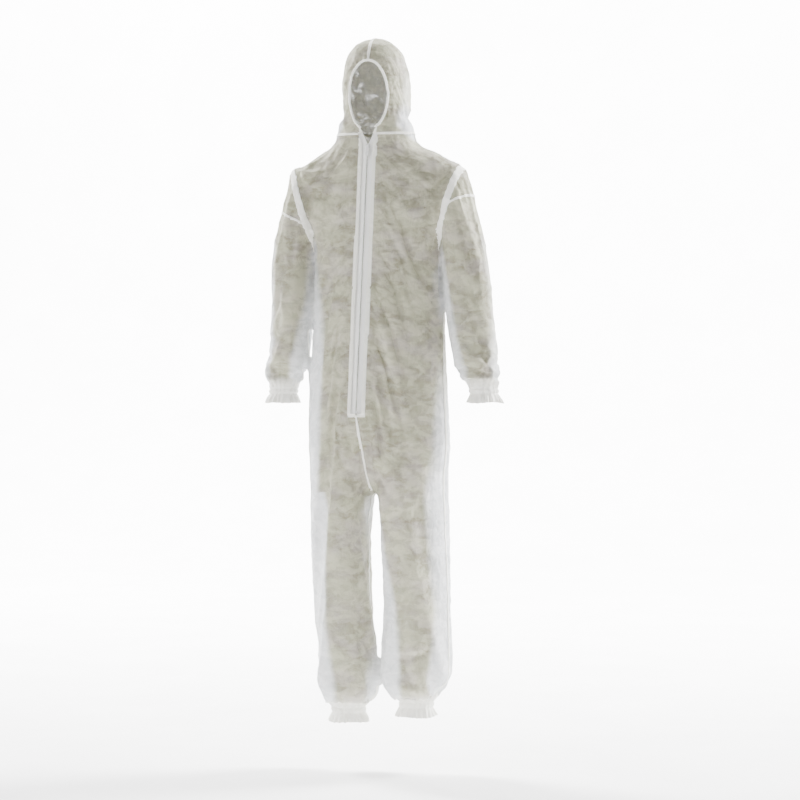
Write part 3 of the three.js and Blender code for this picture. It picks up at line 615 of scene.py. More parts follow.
def heldWeights(made, p):
    weight = np.zeros(len(p))
    x, y, z = p.T
    zipFront = (y < zone["frontY"]) & (z > suit["zipBottom"] - 60) & (z < 60)
    weight = np.maximum(weight, np.where(zipFront, 1 - between(np.abs(zipOffset(p)), 24, 60), 0))
    weight = np.maximum(weight, np.where(np.abs(x) < 130, 1 - between(np.abs(neckHeight(p)), 6, 30), 0))
    rim = np.hypot((x - suit["headLean"]) / face["half"], (z - face["middle"]) / face["rimTall"])
    weight = np.maximum(weight, np.where((z > 20) & (y < 0), 1 - between(rim, 1.08, 1.3), 0))
    for s in (left, right):
        wrist = (x * s > zone["sleeveX"]) & (z > zone["sleeveZ"])
        weight = np.maximum(weight, np.where(wrist, 1 - between(z - suit["wrist"][s], 3, 22), 0))
        ankle = (x * s > 0) & (z < -1350)
        weight = np.maximum(weight, np.where(ankle, 1 - between(z - suit["ankle"][s], 3, 26), 0))
        armhole = (x * s > 110) & (z > suit["underarmZ"] - 6)
        weight = np.maximum(weight, np.where(armhole, 0.5 * (1 - between(np.abs(armholeOut(p, s) + 4), 6, 30)), 0))
    group = made.vertex_groups.new(name="held")
    for index, value in enumerate(weight):
        group.add([index], float(value), "REPLACE")


def dropCloth(made):
    wearer = makeForm()
    collision = wearer.modifiers.new("collision", "COLLISION")
    wearer.collision.thickness_outer = fall["gap"] * mm
    wearer.collision.cloth_friction = 8
    heldWeights(made, restPlaces(made.data))
    modifier = made.modifiers.new("cloth", "CLOTH")
    settings = modifier.settings
    settings.quality = 6
    settings.mass = fall["mass"]
    settings.air_damping = fall["airDamping"]
    settings.tension_stiffness = settings.compression_stiffness = fall["stiffness"]
    settings.shear_stiffness = fall["stiffness"] * 0.6
    settings.bending_stiffness = fall["bend"]
    settings.shrink_min = settings.shrink_max = fall["grow"]
    settings.vertex_group_mass = "held"
    settings.pin_stiffness = 2
    modifier.collision_settings.distance_min = fall["gap"] * mm
    modifier.collision_settings.collision_quality = 2
    modifier.collision_settings.use_self_collision = False
    modifier.point_cache.frame_end = fall["frames"]
    for number in range(1, fall["frames"] + 1):
        scene.frame_set(number)
    fallen = evaluatedMesh(made)
    places = np.array([v.co for v in fallen.vertices]) / mm
    made.modifiers.clear()
    scene.frame_set(1)
    bpy.data.objects.remove(wearer)
    return places


def restPlaces(mesh):
    flat = np.empty(len(mesh.vertices) * 3)
    mesh.vertices.foreach_get("co", flat)
    return flat.reshape(-1, 3) / mm


def setPlaces(mesh, places):
    mesh.vertices.foreach_set("co", (np.asarray(places) * mm).ravel())
    mesh.update()


def storeVector(mesh, name, values):
    attribute = mesh.attributes.new(name, "FLOAT_VECTOR", "POINT")
    attribute.data.foreach_set("vector", np.asarray(values, np.float32).ravel())


rest = restPlaces(surface.data)
storeVector(surface.data, "restPlace", rest * mm)
fallen = dropCloth(surface)
shift = fallen - rest
length = np.linalg.norm(shift, axis=1, keepdims=True)
shift *= np.minimum(1, fall["cap"] / np.maximum(length, 1e-6))
shift[:, 1] = np.clip(shift[:, 1], -fall["capDepth"], fall["capDepth"])
places = rest + shift
legsApart = np.interp(rest[:, 2], (-1250, -1000), (7, 1))
leg = rest[:, 2] < suit["crotch"] - 30
places[:, 0] = np.where(leg & (rest[:, 0] > 0), np.maximum(places[:, 0], legsApart * 1.7), places[:, 0])
places[:, 0] = np.where(leg & (rest[:, 0] < 0), np.minimum(places[:, 0], -legsApart * 0.4), places[:, 0])
setPlaces(surface.data, places)
print("cloth fallen: mean move %.1f mm, most %.1f mm" % (length.mean(), length.max()))

# The fallen cloth is made finer, then it gets its creases and gathers.
crease = {"levels": 2, "height": 1.8, "size": 38, "fineHeight": 0.45, "fineSize": 12, "foldProud": 0.6,
          "cuffReach": 75, "cuffRipple": 2.6, "ankleReach": 110, "ankleRipple": 3.4, "faceRipple": 1.0}
gathers = {"cuff": 19, "ankle": 23, "face": 46}


def finer(made, levels):
    modifier = made.modifiers.new("finer", "SUBSURF")
    modifier.levels = modifier.render_levels = levels
    modifier.boundary_smooth = "PRESERVE_CORNERS"
    applied(made)


def readVector(mesh, name):
    flat = np.empty(len(mesh.vertices) * 3, np.float32)
    mesh.attributes[name].data.foreach_get("vector", flat)
    return flat.reshape(-1, 3).astype(float)


def normalsOf(mesh):
    flat = np.empty(len(mesh.vertices) * 3, np.float32)
    mesh.vertex_normals.foreach_get("vector", flat)
    return flat.reshape(-1, 3).astype(float)


def ripple(angle, count, seed):
    # gathers of uneven width and height, the same for the cloth and for the hem that it meets
    phase = angle * count + 0.9 * np.sin(angle * 3 + seed) + 0.7 * np.sin(angle * 7 + seed * 2.3)
    return np.sin(phase) * (0.75 + 0.35 * np.sin(angle * 5 + seed * 1.7))


def limbAngle(p, middle):
    return np.arctan2(p[:, 1], p[:, 0] - middle)


# Larger folds of the front, each from (x, z) to (x, z) with its width and height; a minus sign is a valley.
folds = [(84, -190, 150, -372, 9, -7), (72, -196, 136, -372, 13, 5), (150, -372, 172, -520, 12, -5),
         (-30, -150, -84, -178, 8, 3), (-60, -200, -74, -300, 9, 3), (118, -92, 156, -128, 7, -3),
         (182, -128, 170, -205, 8, -6), (170, -205, 172, -262, 7, -5), (-140, -112, -164, -152, 7, -6),
         (-164, -152, -152, -262, 8, -5), (60, -420, 96, -640, 14, 5), (-90, -420, -70, -640, 16, 4),
         (22, -760, 118, -840, 13, 6), (-20, -770, -110, -850, 13, 6), (30, -800, 90, -900, 10, -5),
         (-34, -860, -90, -930, 12, 5), (122, -1088, 72, -1238, 10, 7), (132, -1096, 84, -1244, 9, -5),
         (72, -1276, 168, -1270, 9, -7), (76, -1262, 160, -1256, 10, 5), (60, -1338, 150, -1362, 12, 6),
         (56, -1382, 150, -1392, 9, -5), (-128, -1180, -60, -1290, 12, 4), (-130, -1330, -50, -1382, 11, 6),
         (-128, -1398, -44, -1408, 8, -4), (232, -330, 268, -470, 11, 4), (236, -500, 292, -560, 9, 5),
         (236, -560, 290, -590, 8, -4), (-240, -320, -228, -470, 11, 4), (-216, -500, -272, -556, 9, 5)]


def folded(p):
    height = np.zeros(len(p))
    for x0, z0, x1, z1, width, tall in folds:
        ahead = np.array((x1 - x0, z1 - z0), float)
        length = np.linalg.norm(ahead)
        ahead /= length
        along = (p[:, 0] - x0) * ahead[0] + (p[:, 2] - z0) * ahead[1]
        across = (p[:, 0] - x0) * -ahead[1] + (p[:, 2] - z0) * ahead[0]
        across = across + 0.06 * length * np.sin(np.pi * along / length)
        ends = between(along, -12, length * 0.25) * (1 - between(along, length * 0.7, length + 14))
        height += np.where(p[:, 1] < 0, tall * ends * np.exp(-(across / width) ** 2), 0)
    return height


def creased(p):
    heights = np.empty(len(p))
    for i, (x, y, z) in enumerate(p):
        broad = noise.ridged_multi_fractal((x / crease["size"], y / crease["size"], z / crease["size"] * 0.8),
                                           0.9, 2.1, 3, 0.9, 1.4)
        fine = noise.noise((x / crease["fineSize"], y / crease["fineSize"] + 50, z / crease["fineSize"]))
        heights[i] = crease["height"] * (broad - 0.9) + crease["fineHeight"] * fine
    return heights


def shapeCloth(made):
    mesh = made.data
    p, places, out = readVector(mesh, "restPlace") / mm, restPlaces(mesh), normalsOf(mesh)
    x, y, z = p.T
    height = creased(p)
    zipBand = (y < zone["frontY"]) & (z > suit["zipBottom"]) & (np.abs(zipOffset(p)) < 60) & (z < 40)
    height *= np.where(zipBand, between(np.abs(zipOffset(p)), 22, 48), 1)
    rim = np.hypot((x - suit["headLean"]) / face["half"], (z - face["middle"]) / face["rimTall"])
    nearFace = (z > 20) & (y < 0)
    rimAngle = np.arctan2(z - face["middle"], x - suit["headLean"])
    height += np.where(nearFace, crease["faceRipple"] * (1 - between(rim, 1.0, 1.45))
                       * ripple(rimAngle, gathers["face"], 2), 0)
    for s in (left, right):
        middle = s * sleeveLevels[s][-2][1]
        cuff = (x * s > zone["sleeveX"]) & (z > zone["sleeveZ"]) & (z < -400)
        up = z - suit["wrist"][s]
        height += np.where(cuff, crease["cuffRipple"] * (1 - between(up, 0, crease["cuffReach"]))
                           * ripple(limbAngle(p, middle), gathers["cuff"], s), 0)
        middle = s * legLevels[s][-2][1]
        ankle = (x * s > 0) & (z < -1200)
        up = z - suit["ankle"][s]
        height += np.where(ankle, crease["ankleRipple"] * (1 - between(up, 0, crease["ankleReach"]))
                           * ripple(limbAngle(p, middle), gathers["ankle"], s + 3), 0)
    height += folded(p) * between(-y, 10, 50) * np.where(zipBand, between(np.abs(zipOffset(p)), 22, 40), 1)
    height += np.where(zipBand & (np.abs(zipOffset(p)) < 21.5), crease["foldProud"], 0)
    setPlaces(mesh, places + out * height[:, None])
    return p


def middleAt(levels, heights):
    return np.interp(heights, *np.array(sorted((row[0], row[1]) for row in levels)).T)


def wearerShadeShare(p):
    # how far the cloth lies against the wearer, where the painted shade darkens it: the form's width at each height
    share = np.zeros(len(p))
    for rows in wearerShade.values():
        rows = np.array(sorted(rows))
        middle, half = np.interp(p[:, 2], rows[:, 0], rows[:, 1]), np.interp(p[:, 2], rows[:, 0], rows[:, 2])
        inside = (p[:, 2] > rows[0, 0] - 15) & (p[:, 2] < rows[-1, 0] + 6)
        share = np.maximum(share, np.where(inside, 1 - between(np.abs(p[:, 0] - middle) - half, -8, 14), 0))
    return share


def storeValue(mesh, name, values):
    attribute = mesh.attributes.new(name, "FLOAT", "POINT")
    attribute.data.foreach_set("value", np.asarray(values, np.float32))


finer(surface, crease["levels"])
print("cloth made finer:", len(surface.data.vertices), "points")
restFine = shapeCloth(surface)
clothPlaces, clothNormals = restPlaces(surface.data), normalsOf(surface.data)
clothFaces = [tuple(f.vertices) for f in surface.data.polygons]
faceRest = np.array([restFine[list(f)].mean(axis=0) for f in clothFaces])
# painted shade: how much of the wearer's shade is painted into the cloth at each point
clothWearerShade = wearerShadeShare(restFine)
doubled = np.where((restFine[:, 1] < zone["frontY"]) & (np.abs(zipOffset(restFine)) < 22.4)
                   & (restFine[:, 2] > suit["zipBottom"] - 8) & (restFine[:, 2] < 30), 0.85, 0.0)
for s in (left, right):
    # near the cuffs and ankles the gathered cloth lies in several layers
    cuff = (restFine[:, 0] * s > zone["sleeveX"]) & (restFine[:, 2] > zone["sleeveZ"])
    bunched = 1 - between(restFine[:, 2] - suit["wrist"][s], 4, 34)
    doubled = np.maximum(doubled, np.where(cuff, 0.75 * bunched, 0))
    bunched = 1 - between(restFine[:, 2] - suit["ankle"][s], 10, 56)
    doubled = np.maximum(doubled, np.where((restFine[:, 0] * s > 0) & (restFine[:, 2] < -1300), 0.8 * bunched, 0))
edges = np.empty(len(surface.data.edges) * 2, np.int32)
surface.data.edges.foreach_get("vertices", edges)
clothEdges = edges.reshape(-1, 2)
bpy.data.objects.remove(surface)
print("creases and gathers shaped")


# Pieces are cut out of the cloth along the seams.
def cutPiece(name, chosen, finish, push=0.0, plies=None, thick=0.0):
    faces = [clothFaces[i] for i in np.flatnonzero(chosen)]
    used = np.unique(np.concatenate([np.array(f) for f in faces]))
    number = {int(v): i for i, v in enumerate(used)}
    places = clothPlaces[used] + clothNormals[used] * push
    made = meshObject(name, places * mm, [tuple(number[int(v)] for v in f) for f in faces])
    storeVector(made.data, "restPlace", restFine[used] * mm)
    storeValue(made.data, "wearerShade", clothWearerShade[used])
    storeValue(made.data, "plies", doubled[used] if plies is None else np.full(len(used), plies))
    smoothFaces(made)
    if thick:
        thickened(made, thick)
    made.data.materials.clear()
    made.data.materials.append(finish)
    return made


fx, fy, fz = faceRest.T
inHood = (neckHeight(faceRest) > 0) & (np.abs(fx) < 135) & (fz > 2)
sleeves = {s: onSleeve(faceRest, s) for s in (left, right)}
inSleeve = sleeves[left] | sleeves[right]
body = ~inHood & ~inSleeve
offZip = zipOffset(faceRest)
vGap = openV["half"] * np.clip((fz - suit["zipTop"]) / openV["height"], 0, 1)
zipSlot = (fy < zone["frontY"]) & (fz > suit["zipBottom"]) & (np.abs(offZip) < suit["tapeReveal"] + vGap) & body
atFront = fy < 0
toLeft = np.where(atFront & (fz > suit["crotch"]), offZip > 0, fx > 0)
armJoint = {s: (np.array((s * suit["shoulderX"], 0, suit["shoulderZ"])), armOut[s]) for s in (left, right)}


def bendLeg(made):
    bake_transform(made)


def bendArm(made, side):
    tip, out = armJoint[side]
    tuple((tip + out * 2) * mm)
    tuple((tip + out * 88) * mm)
    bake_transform(made)


def bendHood(made):
    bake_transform(made)


for s in (left, right):
    name = sideNames[s]
    mine = toLeft if s == left else ~toLeft
    for where, facing in (("front", atFront), ("back", ~atFront)):
        panel = cutPiece(f"{name}_{where}_panel", body & mine & facing & ~zipSlot, clothFinish)
        bendLeg(panel)
        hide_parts(f"{name}_{where}_body", f"{name}_{where}_leg")
    up = joinHeight(faceRest, s)
    for part, chosen in (("upper_sleeve", up > 0), ("sleeve", up <= 0)):
        made = cutPiece(f"{name}_{part}_cloth", sleeves[s] & chosen, clothFinish)
        bendArm(made, s)
        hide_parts(f"{name}_{part}")
    mySide = fx > suit["headLean"] if s == left else fx <= suit["headLean"]
    half = cutPiece(f"hood_{name}_cloth", inHood & mySide, clothFinish)
    bendHood(half)
    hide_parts(f"hood_{name}")


# Seams are narrow bands of doubled cloth that stand a little proud.
def seamPiece(node, chosen, bend, plies=0.9, finish=None, push=None):
    made = cutPiece(node + "_band", chosen, finish or doubleFinish, push or seam["proud"], plies, 1.1)
    if bend:
        bend(made)
    else:
        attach(made, "trunk")
    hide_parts(node)
    return made


strip = seam["half"] + 0.02
seamPiece("neck_seam", (np.abs(neckHeight(faceRest)) < strip) & (np.abs(fx) < 135) & ~zipSlot, None)
seamPiece("hood_centre_seam", inHood & (np.abs(fx - suit["headLean"]) < strip)
          & (neckHeight(faceRest) > seam["half"]), bendHood)
seamPiece("centre_back_seam", body & (fy > 0) & (np.abs(fx) < strip) & (neckHeight(faceRest) < -seam["half"])
          & (fz > suit["crotch"]), None)
seamPiece("front_rise_seam", body & atFront & (np.abs(offZip) < strip) & (fz < suit["zipBottom"])
          & (fz > suit["crotch"]), None)
for s in (left, right):
    name = sideNames[s]
    outward = fx * s
    onSide = np.abs(fy) < strip
    legMiddle = middleAt(legLevels[s], fz)
    leg = body & (fz < suit["crotch"]) & (outward > 0)
    fold = armholeOut(faceRest, s)
    taper = between(fz, -278, -215)
    allowance = (body & (outward > 110) & (fold > -seam["armholeFold"] * taper)
                 & (fz > suit["underarmZ"] - 4))
    seamPiece(f"{name}_armhole_seam", allowance, None, 1.0, doubleFinish)
    seamPiece(f"{name}_shoulder_seam", body & onSide & (fz > -90) & (outward > 60) & ~allowance
              & (neckHeight(faceRest) < -seam["half"]), None)
    seamPiece(f"{name}_side_seam", body & onSide & (fz < suit["underarmZ"]) & (fz > suit["crotch"])
              & (outward > 120), None)
    seamPiece(f"{name}_leg_side_seam", leg & onSide & (outward > legMiddle), lambda made: bendLeg(made))
    seamPiece(f"{name}_inseam", leg & onSide & (outward < legMiddle), lambda made: bendLeg(made))
    sleeveMiddle = middleAt(sleeveLevels[s], fz)
    seamPiece(f"{name}_sleeve_joining_seam", sleeves[s] & (np.abs(joinHeight(faceRest, s)) < strip),
              lambda made: bendArm(made, s))
    seamPiece(f"{name}_underarm_seam", sleeves[s] & onSide & (outward < sleeveMiddle)
              & (joinHeight(faceRest, s) < -seam["half"]), lambda made: bendArm(made, s))
print("seams made")

# Hems: gathered tubes of doubled cloth with an elastic inside and a loose frill below it.
hem = {"across": 168, "steps": 34, "ripples": {"wrist": 19, "ankle": 23}, "thick": 0.9}
hemLevels = {
    # below the hem's top: (depth, radius from the cloth's end, ripple height)
    "wrist": [(-9, 1.4, 1.5), (-4, 1.5, 1.8), (0, 1.2, 1.9), (3, 0.2, 1.5), (4.5, -0.6, 1.1), (6, 0.6, 1.5),
              (9, 1.2, 1.8),
              (13, 0.9, 1.7), (15.5, -0.8, 1.1), (17, -1.0, 1.0), (19, 0.4, 1.5), (24, 2.6, 2.2), (30, 5.2, 3.2),
              (36, 7.4, 4.0), (38.5, 8.0, 4.3), (40, 8.1, 4.3)],
    "ankle": [(-9, 1.4, 2.0), (-4, 1.5, 2.4), (0, 1.2, 2.4), (3, 0.2, 1.8), (4.5, -0.6, 1.4), (6, 0.6, 1.8),
              (9, 1.2, 2.1),
              (13, 0.9, 2.0), (15.5, -0.8, 1.4), (17, -1.0, 1.2), (19, 0.4, 1.8), (24, 2.6, 2.6), (30, 5.0, 3.8),
              (36, 7.0, 4.8), (38.5, 7.6, 5.0), (40, 7.7, 5.0)]}


def hemPiece(kind, side):
    name = f"{sideNames[side]}_{kind}_hem"
    limb = sleeveLevels[side] if kind == "wrist" else legLevels[side]
    heights, middle = [row[0] for row in limb][::-1], [row[1] for row in limb][::-1]
    radius = 36 if kind == "wrist" else 43
    seed = side if kind == "wrist" else side + 3
    levels = hemLevels[kind]
    finely = np.linspace(levels[0][0], levels[-1][0], hem["steps"])
    columns = np.array(levels).T
    points, faces = [], []
    angles = 2 * np.pi * np.arange(hem["across"]) / hem["across"]
    waves = ripple(np.where(angles > np.pi, angles - 2 * np.pi, angles), hem["ripples"][kind], seed)
    for depth in finely:
        grown, wave = np.interp(depth, columns[0], columns[1]), np.interp(depth, columns[0], columns[2])
        z = suit[kind][side] - depth
        x = side * float(np.interp(z, heights, middle))
        away = radius + grown + wave * waves + max(0, depth - 26) * 0.09 * np.sin(angles * 4 + seed * 2)
        drop = max(0, depth - 20) * 0.07 * np.sin(angles * 3 + seed) + 0.5 * np.sin(angles * 17 + seed)
        for a, r, d in zip(angles, away, drop):
            points.append((x + r * math.cos(a), r * math.sin(a), z - (d if depth > 20 else 0)))
    for r in range(len(finely) - 1):
        for i in range(hem["across"]):
            j = (i + 1) % hem["across"]
            first = r * hem["across"]
            faces.append((first + i, first + hem["across"] + i, first + hem["across"] + j, first + j))
    places = np.array(points)
    made = meshObject(name + "_cloth", places * mm, faces)
    storeVector(made.data, "restPlace", places * mm)
    storeValue(made.data, "wearerShade", np.zeros(len(places)))
    storeValue(made.data, "plies", np.full(len(places), 1.0))
    thickened(made, hem["thick"])
    smoothFaces(made)
    made.data.materials.append(doubleFinish)
    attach(made, sideNames[side] + ("_arm" if kind == "wrist" else "_leg"))
    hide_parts(name)
    return made


for s in (left, right):
    for kind in ("wrist", "ankle"):
        hemPiece(kind, s)
print("hems made")

# The face opening's binding: a gathered tube along the cut edge of the hood, with a fine elastic inside it.
binding = {"radius": 3.0, "gather": 0.42, "across": 20, "step": 1.6, "elasticRadius": 1.0}


def chains(chosen):
    # walks joined edges into lines of points
    near = {}
    for a, b in clothEdges[chosen]:
        near.setdefault(int(a), []).append(int(b))
        near.setdefault(int(b), []).append(int(a))
    lines, seen = [], set()
    for start in sorted(near, key=lambda v: (len(near[v]) != 1, v)):
        if start in seen:
            continue
        line, here = [start], start
        seen.add(start)
        while True:
            onward = [v for v in near[here] if v not in seen]
            if not onward:
                break
            here = onward[0]
            seen.add(here)
            line.append(here)
        if len(line) > 3:
            lines.append(np.array(line))
    return lines


def evenly(points, step):
    gaps = np.linalg.norm(np.diff(points, axis=0), axis=1)
    along = np.concatenate(([0], np.cumsum(gaps)))
    wanted = np.linspace(0, along[-1], max(2, int(along[-1] / step)))
    return np.stack([np.interp(wanted, along, points[:, k]) for k in range(3)], axis=1), wanted


def sweep(name, path, radii, across):
    # a tube along path; radii is one row of radii for every step
    ahead = np.gradient(path, axis=0)
    ahead /= np.linalg.norm(ahead, axis=1, keepdims=True)
    side = np.cross(ahead, (0, -1, 0))
    side /= np.linalg.norm(side, axis=1, keepdims=True)
    up = np.cross(side, ahead)
    angles = 2 * np.pi * np.arange(across) / across
    rings = (path[:, None, :] + radii[:, :, None] * (np.cos(angles)[None, :, None] * side[:, None, :]
                                                     + np.sin(angles)[None, :, None] * up[:, None, :]))
    count = len(path)
    faces = []
    for here in range(0, (count - 1) * across, across):
        for i in range(across):
            j = (i + 1) % across
            faces.append((here + i, here + j, here + across + j, here + across + i))
    faces.append(tuple(reversed(range(across))))
    faces.append(tuple((count - 1) * across + i for i in range(across)))
    made = meshObject(name, rings.reshape(-1, 3) * mm, faces)
    bm = bmesh.new()
    bm.from_mesh(made.data)
    bmesh.ops.recalc_face_normals(bm, faces=bm.faces)
    bm.to_mesh(made.data)
    bm.free()
    smoothFaces(made)
    return made


edgeUse = {}
for f in clothFaces:
    for a, b in zip(f, f[1:] + f[:1]):
        edgeUse[(min(a, b), max(a, b))] = edgeUse.get((min(a, b), max(a, b)), 0) + 1
openEdge = np.array([edgeUse.get((min(a, b), max(a, b)), 0) == 1 for a, b in clothEdges.tolist()])
edgeRest = (restFine[clothEdges[:, 0]] + restFine[clothEdges[:, 1]]) / 2
rimLines = chains(openEdge & (edgeRest[:, 1] < -20) & (edgeRest[:, 2] > 31))
print("face rim:", [len(line) for line in rimLines])
rim, rimLength = evenly(clothPlaces[max(rimLines, key=len)], binding["step"])
for smoothing in range(4):
    rim[1:-1] = (rim[:-2] + rim[1:-1] * 2 + rim[2:]) / 4
rim[:, 1] -= 0.5
turns = 2 * np.pi * np.arange(binding["across"]) / binding["across"]
pucker = np.sin(rimLength * 2 * np.pi / 6.5 + 1.3 * np.sin(rimLength * 0.11) + 0.8 * np.sin(rimLength * 0.053))
radii = binding["radius"] + binding["gather"] * pucker[:, None] * (0.7 + 0.3 * np.sin(turns * 2 + 1)[None, :])
edge = sweep("face_binding_tube", rim, radii, binding["across"])
storeVector(edge.data, "restPlace", restPlaces(edge.data) * mm)
storeValue(edge.data, "wearerShade", np.zeros(len(edge.data.vertices)))
storeValue(edge.data, "plies", np.full(len(edge.data.vertices), 1.0))
edge.data.materials.append(doubleFinish)
bendHood(edge)
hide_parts("face_binding")
core = sweep("face_elastic_cord", rim[2:-2], np.full((len(rim) - 4, 10), binding["elasticRadius"]), 10)
core.data.materials.append(elasticFinish)
bendHood(core)
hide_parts("face_elastic")
print("face binding made")


# Small repeated pieces are set along a line by geometry nodes.
def rowNodes():
    tree = bpy.data.node_groups.new("row_along_line", "GeometryNodeTree")
    face = tree.interface
    face.new_socket("Geometry", in_out="INPUT", socket_type="NodeSocketGeometry")
    face.new_socket("Piece", in_out="INPUT", socket_type="NodeSocketObject")
    face.new_socket("Spacing", in_out="INPUT", socket_type="NodeSocketFloat").default_value = 0.003
    face.new_socket("Size Variation", in_out="INPUT", socket_type="NodeSocketFloat").default_value = 0.1
    face.new_socket("Turn Variation", in_out="INPUT", socket_type="NodeSocketFloat").default_value = 0.1
    face.new_socket("Seed", in_out="INPUT", socket_type="NodeSocketInt").default_value = 3
    face.new_socket("Material", in_out="INPUT", socket_type="NodeSocketMaterial")
    face.new_socket("Geometry", in_out="OUTPUT", socket_type="NodeSocketGeometry")

    def node(kind, settings=None, inputs=None):
        made = tree.nodes.new(kind)
        for key, value in (settings or {}).items():
            setattr(made, key, value)
        for key, value in (inputs or {}).items():
            if isinstance(value, bpy.types.NodeSocket):
                tree.links.new(value, made.inputs[key])
            else:
                made.inputs[key].default_value = value
        return made

    given = node("NodeGroupInput").outputs
    line = node("GeometryNodeMeshToCurve", None, {0: given["Geometry"]}).outputs[0]
    spaced = node("GeometryNodeResampleCurve", {"mode": "LENGTH"}, {"Curve": line, "Length": given["Spacing"]})
    tangent = node("GeometryNodeInputTangent").outputs[0]
    aligned = node("FunctionNodeAlignRotationToVector", {"axis": "Z"}, {"Vector": tangent}).outputs[0]
    spread = node("ShaderNodeMath", {"operation": "MULTIPLY"}, {0: given["Turn Variation"], 1: -1.0}).outputs[0]
    turn = node("FunctionNodeRandomValue", {"data_type": "FLOAT"}, {"Seed": given["Seed"]})
    tree.links.new(spread, turn.inputs[2])
    tree.links.new(given["Turn Variation"], turn.inputs[3])
    tilt = node("ShaderNodeCombineXYZ", None, {"X": turn.outputs[1], "Y": turn.outputs[1]}).outputs[0]
    small = node("ShaderNodeMath", {"operation": "SUBTRACT"}, {0: 1.0, 1: given["Size Variation"]}).outputs[0]
    large = node("ShaderNodeMath", {"operation": "ADD"}, {0: 1.0, 1: given["Size Variation"]}).outputs[0]
    size = node("FunctionNodeRandomValue", {"data_type": "FLOAT"}, {"Seed": given["Seed"]})
    tree.links.new(small, size.inputs[2])
    tree.links.new(large, size.inputs[3])
    piece = node("GeometryNodeObjectInfo", None, {"Object": given["Piece"]})
    tilted = node("FunctionNodeRotateRotation", {"rotation_space": "LOCAL"}, {0: aligned, 1: tilt}).outputs[0]
    copies = node("GeometryNodeInstanceOnPoints", None, {
        "Points": spaced.outputs[0], "Instance": piece.outputs["Geometry"], "Rotation": tilted,
        "Scale": size.outputs[1]})
    real = node("GeometryNodeRealizeInstances", None, {0: copies.outputs[0]}).outputs[0]
    smooth = node("GeometryNodeSetShadeSmooth", None, {0: real}).outputs[0]
    painted = node("GeometryNodeSetMaterial", None, {"Geometry": smooth, "Material": given["Material"]}).outputs[0]
    node("NodeGroupOutput", None, {0: painted})
    return tree


rowTree = rowNodes()


def rodMesh(name, lengths, sides=8, rings=6):
    # a small rounded rod with its middle at the origin
    bm = bmesh.new()
    bmesh.ops.create_uvsphere(bm, u_segments=sides, v_segments=rings, radius=0.5 * mm)
    for vertex in bm.verts:
        vertex.co = Vector((vertex.co.x * lengths[0], vertex.co.y * lengths[1], vertex.co.z * lengths[2]))
    mesh = bpy.data.meshes.new(name)
    bm.to_mesh(mesh)
    bm.free()
    return placed(name, mesh)


def rowAlong(name, lines, piece, spacing, finish, variation=0.1, turn=0.1, seed=3):
    points, links = [], []
    for line in lines:
        start = len(points)
        points += [tuple(p) for p in np.asarray(line) * mm]
        links += [(start + i, start + i + 1) for i in range(len(line) - 1)]
    made = meshObject(name, points, [], links)
    modifier = made.modifiers.new("row", "NODES")
    modifier.node_group = rowTree
    values = {"Piece": piece, "Spacing": spacing * mm, "Size Variation": variation, "Turn Variation": turn,
              "Seed": seed, "Material": finish}
    for item in rowTree.interface.items_tree:
        if item.in_out == "INPUT" and item.name in values:
            modifier[item.identifier] = values[item.name]
    return applied(made)


# The zip's two coils, closed below the slider.
coil = {"top": -10, "bottom": -682, "offset": 2.0, "pitch": 1.45, "tooth": (3.0, 1.25, 0.95), "behind": 1.7}


def zipLine(offset, top, bottom, behind, phase=0.0):
    heights = np.arange(top - phase, bottom, -4.0)
    line = []
    for z in heights:
        line.append((zipMiddle(z) + offset, -zipDepth(z) + behind, z))
    return np.array(line)


tooth = rodMesh("coil_tooth", coil["tooth"])
for s in (left, right):
    phase = 0.0 if s == left else coil["pitch"] / 2
    line = zipLine(s * coil["offset"], coil["top"], coil["bottom"], coil["behind"], phase)
    row = rowAlong(f"{sideNames[s]}_zip_coil_teeth", [line], tooth, coil["pitch"], nylonFinish, 0.02, 0.0)
    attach(row, "trunk")
    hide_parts(f"{sideNames[s]}_zip_coil")
print("zip coils made")

# Stitches: one row along each seam and one along each folded front edge.
stitch = {"length": 2.3, "width": 0.5, "spacing": 3.1, "seamApart": 1.6, "foldOffset": 18.5, "proud": 0.25}
threadPiece = rodMesh("stitch", (stitch["width"], stitch["width"], stitch["length"]), 6, 5)
stitchOver = seam["proud"] + stitch["proud"]


def seamStitches(name, chosen, bodyName, bend=None):
    lines = [clothPlaces[line] + clothNormals[line] * stitchOver for line in chains(chosen)]
    row = rowAlong(name, lines, threadPiece, stitch["spacing"], threadFinish, 0.12, 0.14, len(name))
    if bend:
        bend(row)
    else:
        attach(row, bodyName)
    return row


ex, ey, ez = edgeRest.T
ends = restFine[clothEdges]
edgeNeck = neckHeight(edgeRest)
edgeHood = (edgeNeck > 4) & (np.abs(ex) < 135) & (ez > 2)
edgeSleeve = {s: onSleeve(edgeRest, s) for s in (left, right)}
edgeBody = ~edgeHood & ~edgeSleeve[left] & ~edgeSleeve[right]


def onLine(values, at=0.0):
    return (np.abs(values[:, 0] - at) < 0.35) & (np.abs(values[:, 1] - at) < 0.35)


def both(offset, *more):
    return np.stack([offset(ends[:, end], *more) for end in (0, 1)], axis=1)


